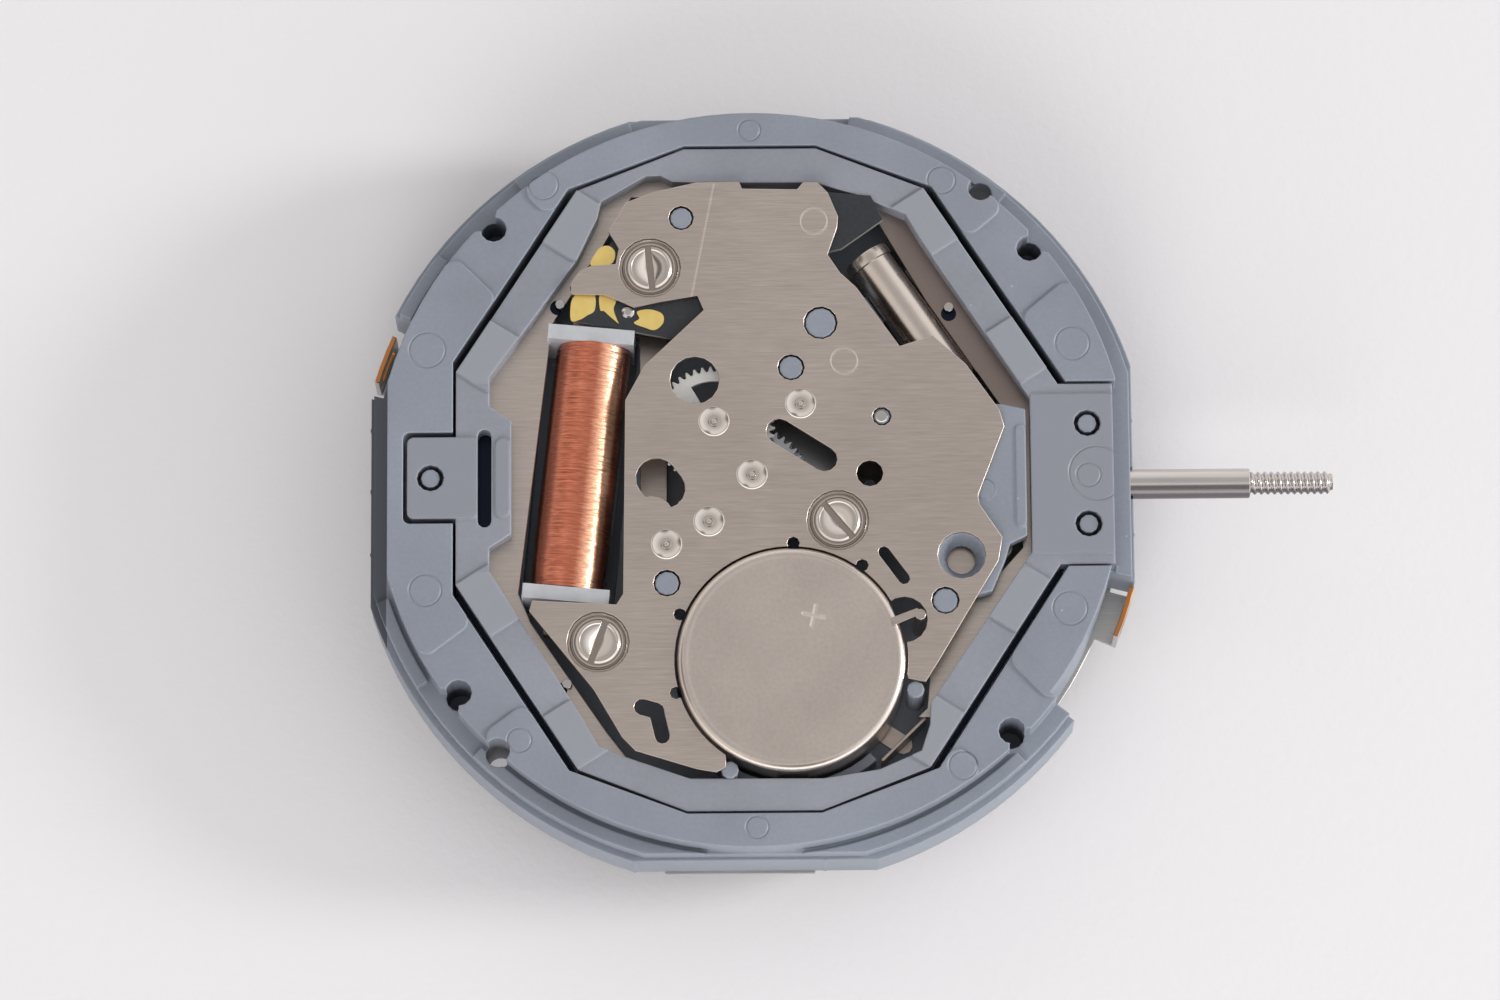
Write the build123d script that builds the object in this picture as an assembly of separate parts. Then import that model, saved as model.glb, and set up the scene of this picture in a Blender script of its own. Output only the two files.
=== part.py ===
from build123d import *
import math
import os

# Quartz watch movement, lying dial side down, as an assembly of separate pieces.
# The origin is on the hand axis at the dial seat. +Z points to the battery side,
# +X along the winding stem. All lengths are in millimetres.

# Driving dimensions: the plastic casing around the movement
frame_r = 12.05
frame_flat = 11.48
foot_r = 11.85
foot_flat = 11.38
wall_r = 11.33
wall_flat = 10.93

# Driving dimensions: heights, one on top of the other from the dial seat
sheet_t = 0.15
frame_h = 1.65
foot_h = 0.45
wall_h = 0.80
pad_h = 0.08
floor_low = 0.85
floor_t = 0.40
train_gap = 1.90
bridge_t = 0.15

# Driving dimensions: bought-in pieces
cell_r = 3.40
cell_t = 2.15
stem_r = 0.45
stem_z = 1.65
stem_reach = 17.50
crystal_r = 0.75
crystal_len = 5.00
coil_r = 1.17
coil_len = 7.60

# Clearances
fit = 0.03
gap = 0.08
overrun = 1.00
small_round_r = 1.00
round_error = 0.015
least_sides = 8

# Heights that follow
ring_low = sheet_t + frame_h
ring_deck = ring_low + foot_h
ring_top = ring_deck + wall_h
deck = floor_low + floor_t
bridge_low = deck + train_gap
bridge_top = bridge_low + bridge_t
sheet_low = ring_deck - gap / 2
sheet_top = sheet_low + sheet_t

# Places on the movement as shares of its half width, from the hand axis
movement_half = 10.00
spot_shares = {
    "hands": (0.0, 0.0),
    "third": (-0.113, 0.165),
    "fifth": (-0.130, -0.144),
    "rotor": (-0.257, -0.213),
    "minute": (0.147, 0.218),
    "setting_aim": (0.353, 0.0),
    "cell": (0.113, -0.571),
    "funnel": (0.625, -0.254),
    "lever_pivot": (0.735, -0.205),
    "yoke_post": (0.391, 0.176),
    "crystal": (0.352, 0.705),
    "chip": (-0.060, 0.660),
    "coil_top": (-0.484, 0.420),
    "crescent": (0.450, -0.450),
}
spots = {name: (movement_half * x, movement_half * y)
         for name, (x, y) in spot_shares.items()}
screw_shares = ((-0.303, 0.643), (-0.462, -0.512), (0.256, -0.144))
plate_pin_shares = ((-0.208, 0.799), (-0.256, -0.333), (0.574, -0.392))
support_pin_shares = ((0.210, 0.468), (0.120, 0.330))
support_leg_share = (0.235, 0.520)
tongue_shares = ((0.482, -0.660), (-0.072, -0.900))
rivet_shares = ((-0.576, 0.552), (-0.557, -0.622), (0.598, 0.534))
guide_shares = ((0.545, 0.142), (0.660, 0.142))
cover_foot_shares = ((0.555, -0.308), (0.733, 0.160))
cover_bar_shares = ((0.806, 0.136), (0.806, -0.150))
emboss_share = (0.698, -0.048)

# Tooth counts: one turn of the fourth wheel in a minute, 60 to 1 to the minute hand,
# 12 to 1 from the minute hand to the hour hand
rotor_teeth = 6
fifth_teeth = 36
fifth_leaves = 8
fourth_teeth = 40
fourth_leaves = 6
third_teeth = 45
third_leaves = 8
centre_teeth = 64
cannon_teeth = 10
minute_teeth = 30
minute_leaves = 8
hour_teeth = 32
setting_teeth = 16


def distance(first, second):
    return math.hypot(second[0] - first[0], second[1] - first[1])


def heading(first, second):
    return math.atan2(second[1] - first[1], second[0] - first[0])


def polar(radius, degrees):
    turn = math.radians(degrees)
    return (radius * math.cos(turn), radius * math.sin(turn))


def slab(sketch, low, high):
    return extrude(Pos(0, 0, low) * sketch, amount=high - low)


def sides_of(radius):
    # Small round stock and bores have flats that stay this close to the true round
    return max(least_sides, math.ceil(math.pi / math.acos(1 - round_error / radius)))


def disc(radius):
    if radius > small_round_r:
        return Circle(radius)
    return RegularPolygon(radius, sides_of(radius))


def rod(place, radius, low, high):
    return slab(Pos(*place) * disc(radius), low, high)


def true_rod(place, radius, low, high):
    return slab(Pos(*place) * Circle(radius), low, high)


def frustum(place, radius, small_radius, top, depth):
    # A conical sink, from its wide mouth down to its narrow end
    mouth = Pos(*place, top) * disc(radius)
    lean = math.degrees(math.atan2(radius - small_radius, depth))
    return extrude(mouth, amount=-depth, taper=lean)


def outline(points):
    return make_face(Polyline(*points, close=True))


def placed(shares):
    return [(movement_half * x, movement_half * y) for x, y in shares]


screw_places = placed(screw_shares)
pin_places = placed(plate_pin_shares)
support_pins = placed(support_pin_shares)
support_leg = placed([support_leg_share])[0]
tongue_places = placed(tongue_shares)
rivet_places = placed(rivet_shares)
yoke_guides = placed(guide_shares)
cover_feet = placed(cover_foot_shares)
cover_bar = placed(cover_bar_shares)
emboss_place = placed([emboss_share])[0]


def stadium(first, second, radius):
    # A bar with round ends, whose flats follow the same rule
    turn = math.degrees(heading(first, second))
    flats = math.ceil(sides_of(radius) / 2)
    points = []
    for end, start in ((second, turn - 90), (first, turn + 90)):
        for corner in range(flats + 1):
            across = polar(radius, start + 180 * corner / flats)
            points.append((end[0] + across[0], end[1] + across[1]))
    return outline(points)


def sector(inner_r, outer_r, first, last):
    # A flat ring segment between two angles in degrees, at most half a turn
    middle = (first + last) / 2
    arc_out = ThreePointArc(polar(outer_r, first), polar(outer_r, middle), polar(outer_r, last))
    arc_in = ThreePointArc(polar(inner_r, last), polar(inner_r, middle), polar(inner_r, first))
    side_out = Line(arc_out @ 1, arc_in @ 0)
    side_in = Line(arc_in @ 1, arc_out @ 0)
    return make_face(arc_out + side_out + arc_in + side_in)


# Toothed wheels

tooth_width_share = 0.44
tip_width_share = 0.20
addendum_share = 0.85
dedendum_share = 1.15


def module_of(first, second, first_teeth, second_teeth):
    return 2 * distance(first, second) / (first_teeth + second_teeth)


def meshed_phase(phase, teeth, next_teeth, turn):
    # Phase in degrees of the next wheel, so that its gap meets a tooth of this one
    share = (math.degrees(turn) - phase) * teeth / 360
    return math.degrees(turn) + 180 - (1 / 2 - share) * 360 / next_teeth


def toothed(place, teeth, module, phase, low, high):
    pitch_r = teeth * module / 2
    root_r = pitch_r - dedendum_share * module
    tip_r = pitch_r + addendum_share * module
    step = 360 / teeth
    foot = step * (1 - tooth_width_share) / 2
    tip = step * tip_width_share / 2
    points = []
    for tooth in range(teeth):
        middle = phase + tooth * step
        points.append(polar(root_r, middle - step / 2 + foot / 2))
        points.append(polar(tip_r, middle - tip))
        points.append(polar(tip_r, middle + tip))
        points.append(polar(root_r, middle + step / 2 - foot / 2))
    blank = make_face(Polyline(*points, close=True))
    return slab(Pos(*place) * blank, low, high)


def tip_radius(teeth, module):
    return teeth * module / 2 + addendum_share * module


# Modules follow from the pivot distances and the tooth counts
rotor_module = module_of(spots["rotor"], spots["fifth"], rotor_teeth, fifth_teeth)
fifth_module = module_of(spots["fifth"], spots["hands"], fifth_leaves, fourth_teeth)
third_module = module_of(spots["hands"], spots["third"], fourth_leaves, third_teeth)
centre_module = module_of(spots["third"], spots["hands"], third_leaves, centre_teeth)
motion_module = module_of(spots["hands"], spots["minute"], cannon_teeth, minute_teeth)
hour_module = module_of(spots["hands"], spots["minute"], minute_leaves, hour_teeth)

setting_turn = heading(spots["minute"], spots["setting_aim"])
setting_distance = motion_module * (minute_teeth + setting_teeth) / 2
setting_place = (spots["minute"][0] + setting_distance * math.cos(setting_turn),
                 spots["minute"][1] + setting_distance * math.sin(setting_turn))

# Phases: the fourth wheel and the cannon pinion start at zero
fifth_leaf_phase = meshed_phase(0, fourth_teeth, fifth_leaves, heading(spots["hands"], spots["fifth"]))
rotor_phase = meshed_phase(fifth_leaf_phase, fifth_teeth, rotor_teeth,
                           heading(spots["fifth"], spots["rotor"]))
third_phase = meshed_phase(0, fourth_leaves, third_teeth, heading(spots["hands"], spots["third"]))
centre_phase = meshed_phase(third_phase, third_leaves, centre_teeth,
                            heading(spots["third"], spots["hands"]))
minute_phase = meshed_phase(0, cannon_teeth, minute_teeth, heading(spots["hands"], spots["minute"]))
hour_phase = meshed_phase(minute_phase, minute_leaves, hour_teeth,
                          heading(spots["minute"], spots["hands"]))
setting_phase = meshed_phase(minute_phase, minute_teeth, setting_teeth, setting_turn)

# Heights of the wheels above the deck, and of the hour wheel above the dial-side plate
wheel_t = 0.15
motion_lift = 0.05
centre_lift = 0.27
fifth_lift = 0.70
fourth_lift = 1.05
third_lift = 1.40
hour_lift = 0.15
motion_low = deck + motion_lift
centre_low = deck + centre_lift
fifth_low = deck + fifth_lift
fourth_low = deck + fourth_lift
third_low = deck + third_lift
hour_low = sheet_t + hour_lift
arbor_r = 0.10
pivot_r = 0.06
pivot_depth = 0.15
shoulder = 0.06
sink_r = 0.43
cannon_r = 0.35
cannon_bore = arbor_r + fit
hour_bore = cannon_r + fit
hour_tube_r = 0.60
hour_tip = -1.00
hand_step = 0.45
hand_seat_relief = 0.01
cannon_tip = hour_tip - hand_step
seconds_tip = cannon_tip - hand_step

# The octagon in the middle of the casing, which the retaining ring fills
octagon_flat = 10.31
octagon_half = 2.00
knee_x = 5.50
knee_y = 8.98
slant = 1.553
octagon_west = 8.97
octagon_east = 9.50
ring_gap = 0.09
slant_gap = 0.26


def octagon(inset, slanted_inset):
    # Two short flats north and south, four shallow shoulders and four long slanted sides
    flat = octagon_flat - inset
    high_x = knee_x - slanted_inset
    high_y = knee_y - inset / 2
    west = octagon_west - inset
    east = octagon_east - inset
    west_y = high_y - slant * (west - high_x)
    east_y = high_y - slant * (east - high_x)
    half = [(octagon_half, flat), (high_x, high_y), (east, east_y)]
    mirrored = [(x, -y) for x, y in reversed(half)]
    left = [(-octagon_half, -flat), (-high_x, -high_y), (-west, -west_y),
            (-west, west_y), (-high_x, high_y), (-octagon_half, flat)]
    return outline(half + mirrored + left)


# Casing holes: four blind screw holes and two through holes for the dial's feet
hole_r = 0.40
hole_ring_r = 10.97
hole_turns = (135.0, 39.8, 216.8, 314.3)
scallop_r = 0.62
foot_hole_r = 0.37
foot_rim = 0.18
foot_ring_r = foot_r - foot_hole_r - foot_rim
foot_turns = (51.9, 227.6)
west_notch_r = 11.42
east_notch_r = 11.10
west_notch = (153.5, 166.3)
east_notch = (-37.3, -14.8)
stem_room = 0.05
stem_slot_half = stem_r + stem_room
lug_east_x = 10.84
lug_east_half = 2.78
lug_west_x = 10.34
lug_west_half = 1.25
lug_corner_r = 0.20
lug_hole_r = 0.41
lug_pin_r = 0.28
lug_pins = ((-9.64, 0.0), (10.07, 1.55), (10.07, -1.55))


def cut_round(radius, flat_x, flat_y):
    return Circle(radius) & Rectangle(2 * flat_x, 2 * flat_y)


def casing_notches():
    west = sector(west_notch_r, frame_r + overrun, *west_notch)
    east = sector(east_notch_r, frame_r + overrun, *east_notch)
    return west + east


def casing_holes(low, high):
    holes = [true_rod(polar(foot_ring_r, turn), foot_hole_r, low, high) for turn in foot_turns]
    holes += [rod(polar(hole_ring_r, turn), hole_r, low, high) for turn in hole_turns]
    return holes


nub_r = 0.13
west_nubs = (1.81, -0.08, -2.04)
east_nubs = (1.94, -1.60)
north_nubs = (-2.70, 0.05, 2.65)
south_nubs = (-3.60, 2.10)
nub_inset = 0.10


def frame_nubs(low, high):
    reach = frame_flat - nub_inset
    places = [(-reach, y) for y in west_nubs] + [(reach, y) for y in east_nubs]
    places += [(x, reach) for x in north_nubs] + [(x, -reach) for x in south_nubs]
    return [rod(place, nub_r, low, high) for place in places]


# Dial side: the sheet-metal holding plate with its two bent-up snap tabs

foot_relief_r = 0.55
plate_r = foot_ring_r - foot_relief_r
plate_hole_r = 1.20
south_tab = (-2.70, 1.80)
south_tab_rise = 0.07
south_tab_reach = frame_flat + south_tab_rise
plate_show = 0.12
tab_height = 1.55
west_tab = (156.0, 163.4)
east_tab = (-23.2, -15.4)
tab_r = frame_r - sheet_t
window_margin = 1.30
window_low = 0.55
window_high = 1.10


def holding_plate():
    plate = slab(cut_round(plate_r, plate_r, plate_r), 0, sheet_t)
    middle = (south_tab[0] + south_tab[1]) / 2
    strip = Rectangle(south_tab[1] - south_tab[0], plate_r)
    plate += slab(Pos(middle, plate_r / 2 - south_tab_reach) * strip, 0, sheet_t)
    plate -= rod(spots["hands"], plate_hole_r, -overrun, overrun)
    plate += slab(sector(plate_r - overrun, east_notch_r + plate_show, *east_notch), 0, sheet_t)
    for first, last in (west_tab, east_tab):
        plate += slab(sector(plate_r - overrun, tab_r, first, last), 0, sheet_t)
        plate += slab(sector(tab_r - sheet_t, tab_r, first, last), 0, tab_height)
        window = sector(tab_r - overrun, tab_r + overrun, first + window_margin,
                        last - window_margin)
        plate -= slab(window, window_low, window_high)
    return plate


# Dial side: the plastic frame that carries everything

frame_bore_r = 8.40
blind_depth = 1.00


def dial_frame():
    body = slab(cut_round(frame_r, frame_flat, frame_flat), sheet_t, ring_low)
    for nub in frame_nubs(sheet_t, ring_low):
        body += nub
    body -= slab(casing_notches(), -overrun, ring_low + overrun)
    body -= rod(spots["hands"], frame_bore_r, -overrun, ring_low + overrun)
    body -= slab(octagon(0, 0), floor_low, ring_low + overrun)
    for turn in foot_turns:
        body -= true_rod(polar(foot_ring_r, turn), foot_hole_r, -overrun, ring_low + overrun)
    for turn in hole_turns:
        body -= rod(polar(hole_ring_r, turn), hole_r, ring_low - blind_depth,
                    ring_low + overrun)
    slot = Pos(frame_flat, 0) * Rectangle(frame_flat, 2 * stem_slot_half)
    body -= slab(slot, stem_z, ring_low + overrun)
    body -= stem_tunnel(stem_slot_half)
    return body


def stem_tunnel(radius):
    length = frame_r
    return Pos(length, 0, stem_z) * Rot(0, 90, 0) * Cylinder(radius, length)


# Battery side: the plastic module ring, with a wall, raised rims and pads

rim_rise = 0.18
rim_turns = ((49.0, 75.0), (108.0, 127.0), (143.0, 153.5), (198.0, 212.0),
             (225.0, 268.0), (268.0, 313.0))
rim_groove = 0.14
rim_inner_r = wall_r + rim_groove
low_section_half = 1.45
low_section_r = 0.35
west_recess_x = 10.46
west_recess_half = 1.41


def lug_recesses():
    # Openings in the wall where the retaining ring's two lugs lie
    east_inner = octagon_east - overrun
    east = Rectangle(2 * (lug_east_x - east_inner) + overrun, 2 * (lug_east_half + gap))
    west_inner = octagon_west - overrun
    west = Rectangle(west_recess_x - west_inner, 2 * west_recess_half)
    west = fillet(west.vertices(), lug_corner_r)
    return (Pos(lug_east_x + overrun / 2, 0) * east
            + Pos(-(west_recess_x + west_inner) / 2, 0) * west)


def pad_ends(pads):
    # The corners that the pads have where the low sections interrupt them
    ends = []
    for corner in pads.vertices():
        for turn in hole_turns:
            across = math.radians(turn)
            side = corner.Y * math.cos(across) - corner.X * math.sin(across)
            along = corner.X * math.cos(across) + corner.Y * math.sin(across)
            if along > 0 and abs(abs(side) - low_section_half) < fit:
                ends.append(corner)
    return ends


def module_ring():
    foot = cut_round(foot_r, foot_flat, foot_flat) - octagon(0, 0)
    body = slab(foot - casing_notches(), ring_low, ring_deck)
    wall = cut_round(wall_r, wall_flat, wall_r) - octagon(0, 0)
    wall -= lug_recesses()
    for turn in hole_turns:
        wall -= Pos(*polar(wall_r + hole_r, turn)) * disc(scallop_r)
    inset = sector(east_notch_r, wall_r + overrun, *east_notch)
    body += slab(wall - inset, ring_deck, ring_top)
    pads = wall
    for turn in hole_turns:
        low = Rectangle(2 * (wall_r - octagon_east) + overrun, 2 * low_section_half)
        pads -= Pos(*polar(hole_ring_r, turn)) * Rot(0, 0, turn) * low
    pads = fillet(pad_ends(pads), low_section_r) - inset
    body += slab(pads, ring_top, ring_top + pad_h)
    for first, last in rim_turns:
        rim = sector(rim_inner_r, foot_r, first, last) & cut_round(foot_r, foot_flat, foot_flat)
        body += slab(rim, ring_deck, ring_deck + rim_rise)
    for hole in casing_holes(ring_low - overrun, ring_top + overrun):
        body -= hole
    for place in lug_pins:
        body += rod(place, lug_pin_r, ring_deck, ring_top)
    body -= stem_tunnel(stem_slot_half)
    return body


# The retaining ring: an octagon with two lugs, a slot and a springy arm

ring_outline_shares = ((-0.170, 0.917), (0.198, 0.915), (0.333, 0.872), (0.470, 0.810),
                       (0.516, 0.729), (0.836, 0.236), (0.836, -0.240), (0.527, -0.698),
                       (0.524, -0.764), (0.498, -0.845), (0.373, -0.900), (0.209, -0.926),
                       (-0.191, -0.924), (-0.387, -0.855), (-0.464, -0.821),
                       (-0.502, -0.751), (-0.789, -0.286), (-0.788, -0.215),
                       (-0.722, -0.172), (-0.722, 0.175), (-0.788, 0.222), (-0.788, 0.310),
                       (-0.523, 0.678), (-0.462, 0.805), (-0.450, 0.860), (-0.315, 0.938),
                       (-0.270, 0.940), (-0.235, 0.920))
ring_slot = ((-8.02, 1.30), (-8.02, -1.32))
ring_slot_r = 0.21
pad_length = 1.90
lug_pad_len = 2.48
lug_pad_half = 2.46
arm_pad = ((-7.48, 1.00), (-7.48, -1.00))
arm_pad_r = 0.22


def ring_face():
    body = octagon(ring_gap, slant_gap)
    east_inner = octagon_east - overrun
    east = Rectangle(lug_east_x - east_inner, 2 * lug_east_half)
    west_inner = octagon_west - overrun
    west = Rectangle(lug_west_x - west_inner, 2 * lug_west_half)
    west = fillet(west.vertices(), lug_corner_r)
    body += Pos((lug_east_x + east_inner) / 2, 0) * east
    body += Pos(-(lug_west_x + west_inner) / 2, 0) * west
    # The octagon's own east corner lies inside the lug's height
    keep = Rectangle(2 * lug_east_x, 2 * octagon_flat)
    body &= keep
    body -= outline(placed(ring_outline_shares))
    body -= stadium(*ring_slot, ring_slot_r)
    return body


def ring_pads():
    # One pad at each end of the four slanted sides, and one on each lug
    start = (knee_x - slant_gap, knee_y - ring_gap / 2)
    west_end = (octagon_west - ring_gap, start[1] - slant * (octagon_west - ring_gap - start[0]))
    lean = math.degrees(math.atan2(slant, 1))
    length = distance(start, west_end)
    shapes = []
    for side_x in (-1, 1):
        for side_y in (-1, 1):
            for along in (pad_length / 2, length - pad_length / 2):
                share = along / length
                centre_x = start[0] + share * (west_end[0] - start[0])
                centre_y = start[1] + share * (west_end[1] - start[1])
                pad = Rectangle(pad_length, 2 * pad_length)
                pad = fillet(pad.vertices(), lug_corner_r)
                place = Pos(side_x * centre_x, side_y * centre_y)
                shapes.append(place * Rot(0, 0, -side_x * side_y * lean) * pad)
    east = Rectangle(lug_pad_len, 2 * lug_pad_half)
    shapes.append(Pos(lug_east_x - lug_pad_len / 2, 0) * east)
    west = Rectangle(lug_west_x - ring_slot_r + ring_slot[0][0], 2 * lug_west_half)
    west = fillet(west.vertices(), lug_corner_r)
    shapes.append(Pos((-lug_west_x + ring_slot[0][0] - ring_slot_r) / 2, 0) * west)
    shapes.append(stadium(*arm_pad, arm_pad_r))
    return shapes


def retaining_ring():
    face = ring_face()
    body = slab(face, sheet_top, ring_top)
    for pad in ring_pads():
        body += slab(pad & face, ring_top, ring_top + pad_h)
    lugs = slab(face & lug_recesses(), ring_deck, sheet_top)
    inside = slab(octagon(ring_gap, slant_gap), ring_deck - overrun, sheet_top)
    body += lugs - inside
    for place in lug_pins:
        body -= rod(place, lug_hole_r, ring_deck - overrun, ring_top + overrun)
    return body


# The main plate: the moulded floor with its wall, bosses, posts and pins

plate_wall = 0.55
tongue_r = 0.26
boss_r = 0.48
boss_shoulder_r = 0.80
screw_bore_r = 0.28
screw_r = 0.25
support_lift = 1.35
pin_drop = 0.03
support_low = deck + support_lift
pin_rise = bridge_top - pin_drop
pin_radii = (0.33, 0.36, 0.37)
yoke_pin_r = 0.24
setting_post_r = 0.22
setting_post_top = motion_low + 3 * wheel_t
coil_lean = 5.49
bobbin_t = 0.45
bobbin_half = 1.31
coil_window_half = bobbin_half + gap
bobbin_drop = 0.02
coil_bottom = (spots["coil_top"][0] - coil_len * math.sin(math.radians(coil_lean)),
               spots["coil_top"][1] - coil_len * math.cos(math.radians(coil_lean)))
coil_middle = ((spots["coil_top"][0] + coil_bottom[0]) / 2, (spots["coil_top"][1] + coil_bottom[1]) / 2)
stator_lift = 0.20
stator_low = deck + stator_lift
stator_t = 0.35
stator_top = stator_low + stator_t
core_t = 0.50
coil_z = stator_top + core_t / 2
clutch_low_x = 4.88
clutch_len = 1.10
clutch_r = 0.70
clutch_window = (4.42, 6.25)
lever_post_r = 0.28
lever_pin_r = 0.14
lever_low = stem_z + stem_r + gap
lever_t = 0.20
yoke_guide_r = 0.15
yoke_low = deck + gap
yoke_t = 0.18
yoke_shift = 0.25
cover_low = support_low
cover_foot_r = 0.25
cell_rise = 0.25
cell_low = bridge_top + cell_rise - cell_t
well_r = cell_r + gap
well_t = 0.30
well_turns = ((186.0, 262.0), (278.0, 312.0))
well_h = 0.90
well_top = deck + well_h


def coil_place(along=0.0, height=0.0):
    # Local X lies across the winding and local Y along it
    return Pos(*coil_middle, height) * Rot(0, 0, -coil_lean) * Pos(0, along)


def stator_ends():
    # The two ends of the coil's core, where the stator meets it
    lean = math.radians(coil_lean)
    reach = coil_len / 2 + bobbin_t + core_tab_len / 2
    return [(coil_middle[0] + side * reach * math.sin(lean),
             coil_middle[1] + side * reach * math.cos(lean)) for side in (1, -1)]


def arbor_holes(low, high):
    return [rod(place, pivot_r + fit, low, high)
            for place in (spots["third"], spots["fifth"], spots["rotor"])]


def main_plate():
    face = octagon(gap, gap)
    inner = octagon(gap + plate_wall, gap + plate_wall)
    body = slab(face, floor_low, deck)
    below = Circle(frame_bore_r - gap) - Circle(tip_radius(hour_teeth, hour_module) + gap)
    below -= Pos(*spots["minute"]) * Circle(tip_radius(minute_leaves, hour_module) + gap)
    body += slab(below, sheet_t, floor_low)
    body += slab(face - inner, deck, sheet_low)
    for place in screw_places:
        body += rod(place, boss_r, deck, bridge_low)
    body += rod(screw_places[0], boss_shoulder_r, deck, support_low)
    for place, radius in zip(pin_places, pin_radii):
        body += rod(place, radius, deck, pin_rise)
    body += rod(spots["yoke_post"], yoke_pin_r, deck, pin_rise)
    body += rod(setting_place, setting_post_r, deck, setting_post_top)
    body += rod(spots["lever_pivot"], lever_post_r, deck, lever_low - gap / 2)
    body += rod(spots["lever_pivot"], lever_pin_r, deck, lever_low + lever_t + gap)
    for place in yoke_guides:
        body += rod(place, 2 * yoke_guide_r, deck, yoke_low - fit)
        body += rod(place, yoke_guide_r, deck, yoke_low + yoke_t + gap)
    for place in stator_ends():
        body += rod(place, stator_arm_r, deck, stator_low)
    for place in tongue_places:
        body += rod(place, tongue_r, deck, bridge_low)
    for first, last in well_turns:
        wall = sector(well_r, well_r + well_t, first, last)
        body += slab(Pos(*spots["cell"]) * wall, deck, well_top)
    body -= rod(spots["cell"], well_r, deck, bridge_top)
    body -= rod(spots["hands"], cannon_r + fit, floor_low - overrun, deck + overrun)
    body -= rod(spots["minute"], arbor_r + fit, floor_low - overrun, deck + overrun)
    for hole in arbor_holes(deck - pivot_depth - gap, deck + overrun):
        body -= hole
    for place in screw_places:
        body -= rod(place, screw_bore_r, deck, bridge_low + overrun)
    window = Rectangle(2 * coil_window_half, coil_len + 2 * bobbin_t + 2 * gap)
    pocket_low = min(bobbin_low, coil_z - coil_r) - gap
    body -= extrude(coil_place(0, pocket_low) * window, amount=bridge_top - pocket_low)
    slot_len = clutch_window[1] - clutch_window[0]
    slot = Pos(clutch_window[0] + slot_len / 2, 0) * Rectangle(slot_len, 2 * (clutch_r + gap))
    body -= slab(slot, stem_z - clutch_r - gap, deck + overrun)
    body -= stem_tunnel(stem_slot_half)
    top_cut = Pos(clutch_window[1] + frame_r / 2, 0) * Rectangle(frame_r, 2 * stem_slot_half)
    body -= slab(top_cut, stem_z, bridge_top)
    return body


# The module sheet: brushed metal under the retaining ring, with three rivets

sheet_outline_shares = ((-0.360, 0.890), (0.340, 0.890), (0.530, 0.560), (0.662, 0.362),
                        (0.766, 0.205), (0.810, 0.190), (0.810, -0.210), (0.730, -0.300),
                        (0.642, -0.380), (0.530, -0.568), (0.524, -0.640), (0.518, -0.700), (0.490, -0.727),
                        (0.545, -0.727), (0.515, -0.840), (0.390, -0.930),
                        (-0.180, -0.930), (-0.360, -0.870), (-0.440, -0.765), (-0.666, -0.430),
                        (-0.702, -0.340), (-0.600, 0.495), (-0.470, 0.695))
rivet_r = 0.15
rivet_rise = 0.22


def module_sheet():
    face = octagon(gap + fit, gap + fit)
    face -= outline(placed(sheet_outline_shares))
    body = slab(face, sheet_low, sheet_top)
    for place in rivet_places:
        body -= rod(place, rivet_r, sheet_low - overrun, sheet_top + overrun)
    return body


def sheet_rivets():
    return Compound(children=[rod(place, rivet_r, sheet_low, sheet_top + rivet_rise)
                              for place in rivet_places])


# The train bridge: the brushed metal plate that holds the train's upper pivots

bridge_outline_shares = ((-0.429, 0.760), (-0.373, 0.850), (-0.283, 0.883),
                         (-0.162, 0.910), (-0.032, 0.911), (-0.024, 0.890), (0.143, 0.886),
                         (0.161, 0.909), (0.205, 0.908), (0.236, 0.875), (0.266, 0.800),
                         (0.263, 0.765), (0.233, 0.680), (0.270, 0.624), (0.319, 0.577),
                         (0.447, 0.393), (0.547, 0.425), (0.645, 0.336), (0.744, 0.193),
                         (0.758, 0.142), (0.676, -0.070), (0.680, -0.098), (0.747, -0.200),
                         (0.735, -0.271), (0.669, -0.380), (0.553, -0.575),
                         (0.512, -0.640), (0.460, -0.630), (0.440, -0.520),
                         (-0.084, -0.620), (-0.084, -0.895), (-0.112, -0.910),
                         (-0.169, -0.900), (-0.279, -0.866), (-0.352, -0.843),
                         (-0.392, -0.801), (-0.476, -0.656), (-0.668, -0.415),
                         (-0.658, -0.383), (-0.407, -0.397), (-0.387, -0.365),
                         (-0.379, 0.232), (-0.320, 0.340), (-0.142, 0.510),
                         (-0.160, 0.555), (-0.274, 0.536), (-0.350, 0.520),
                         (-0.440, 0.560), (-0.542, 0.563), (-0.540, 0.600),
                         (-0.515, 0.635), (-0.478, 0.652), (-0.406, 0.656),
                         (-0.397, 0.705))
recess_r = 0.93
recess_depth = 0.08
window_shares = ((-0.170, 0.292), (0.353, 0.0), (0.625, -0.254))
window_radii = (0.74, 0.40, 0.72)
notch_shares = ((-0.218, -0.429), (-0.230, -0.668), (0.122, -0.213), (0.327, -0.283))
notch_r = 0.19
slot_shares = (((0.082, 0.133), (0.218, 0.045)), ((0.392, -0.242), (0.452, -0.325)),
               ((-0.332, -0.710), (-0.290, -0.722)), ((-0.290, -0.722), (-0.272, -0.800)))
slot_radii = (0.38, 0.17, 0.24, 0.22)
bean_shares = ((-0.286, -0.010), (-0.262, -0.042))
bean_r = 0.62
bean_bite_share = (-0.302, -0.135)
bean_bite_r = 0.70
crescent_r = 0.70
pin_hole_gap = 0.05


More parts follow.
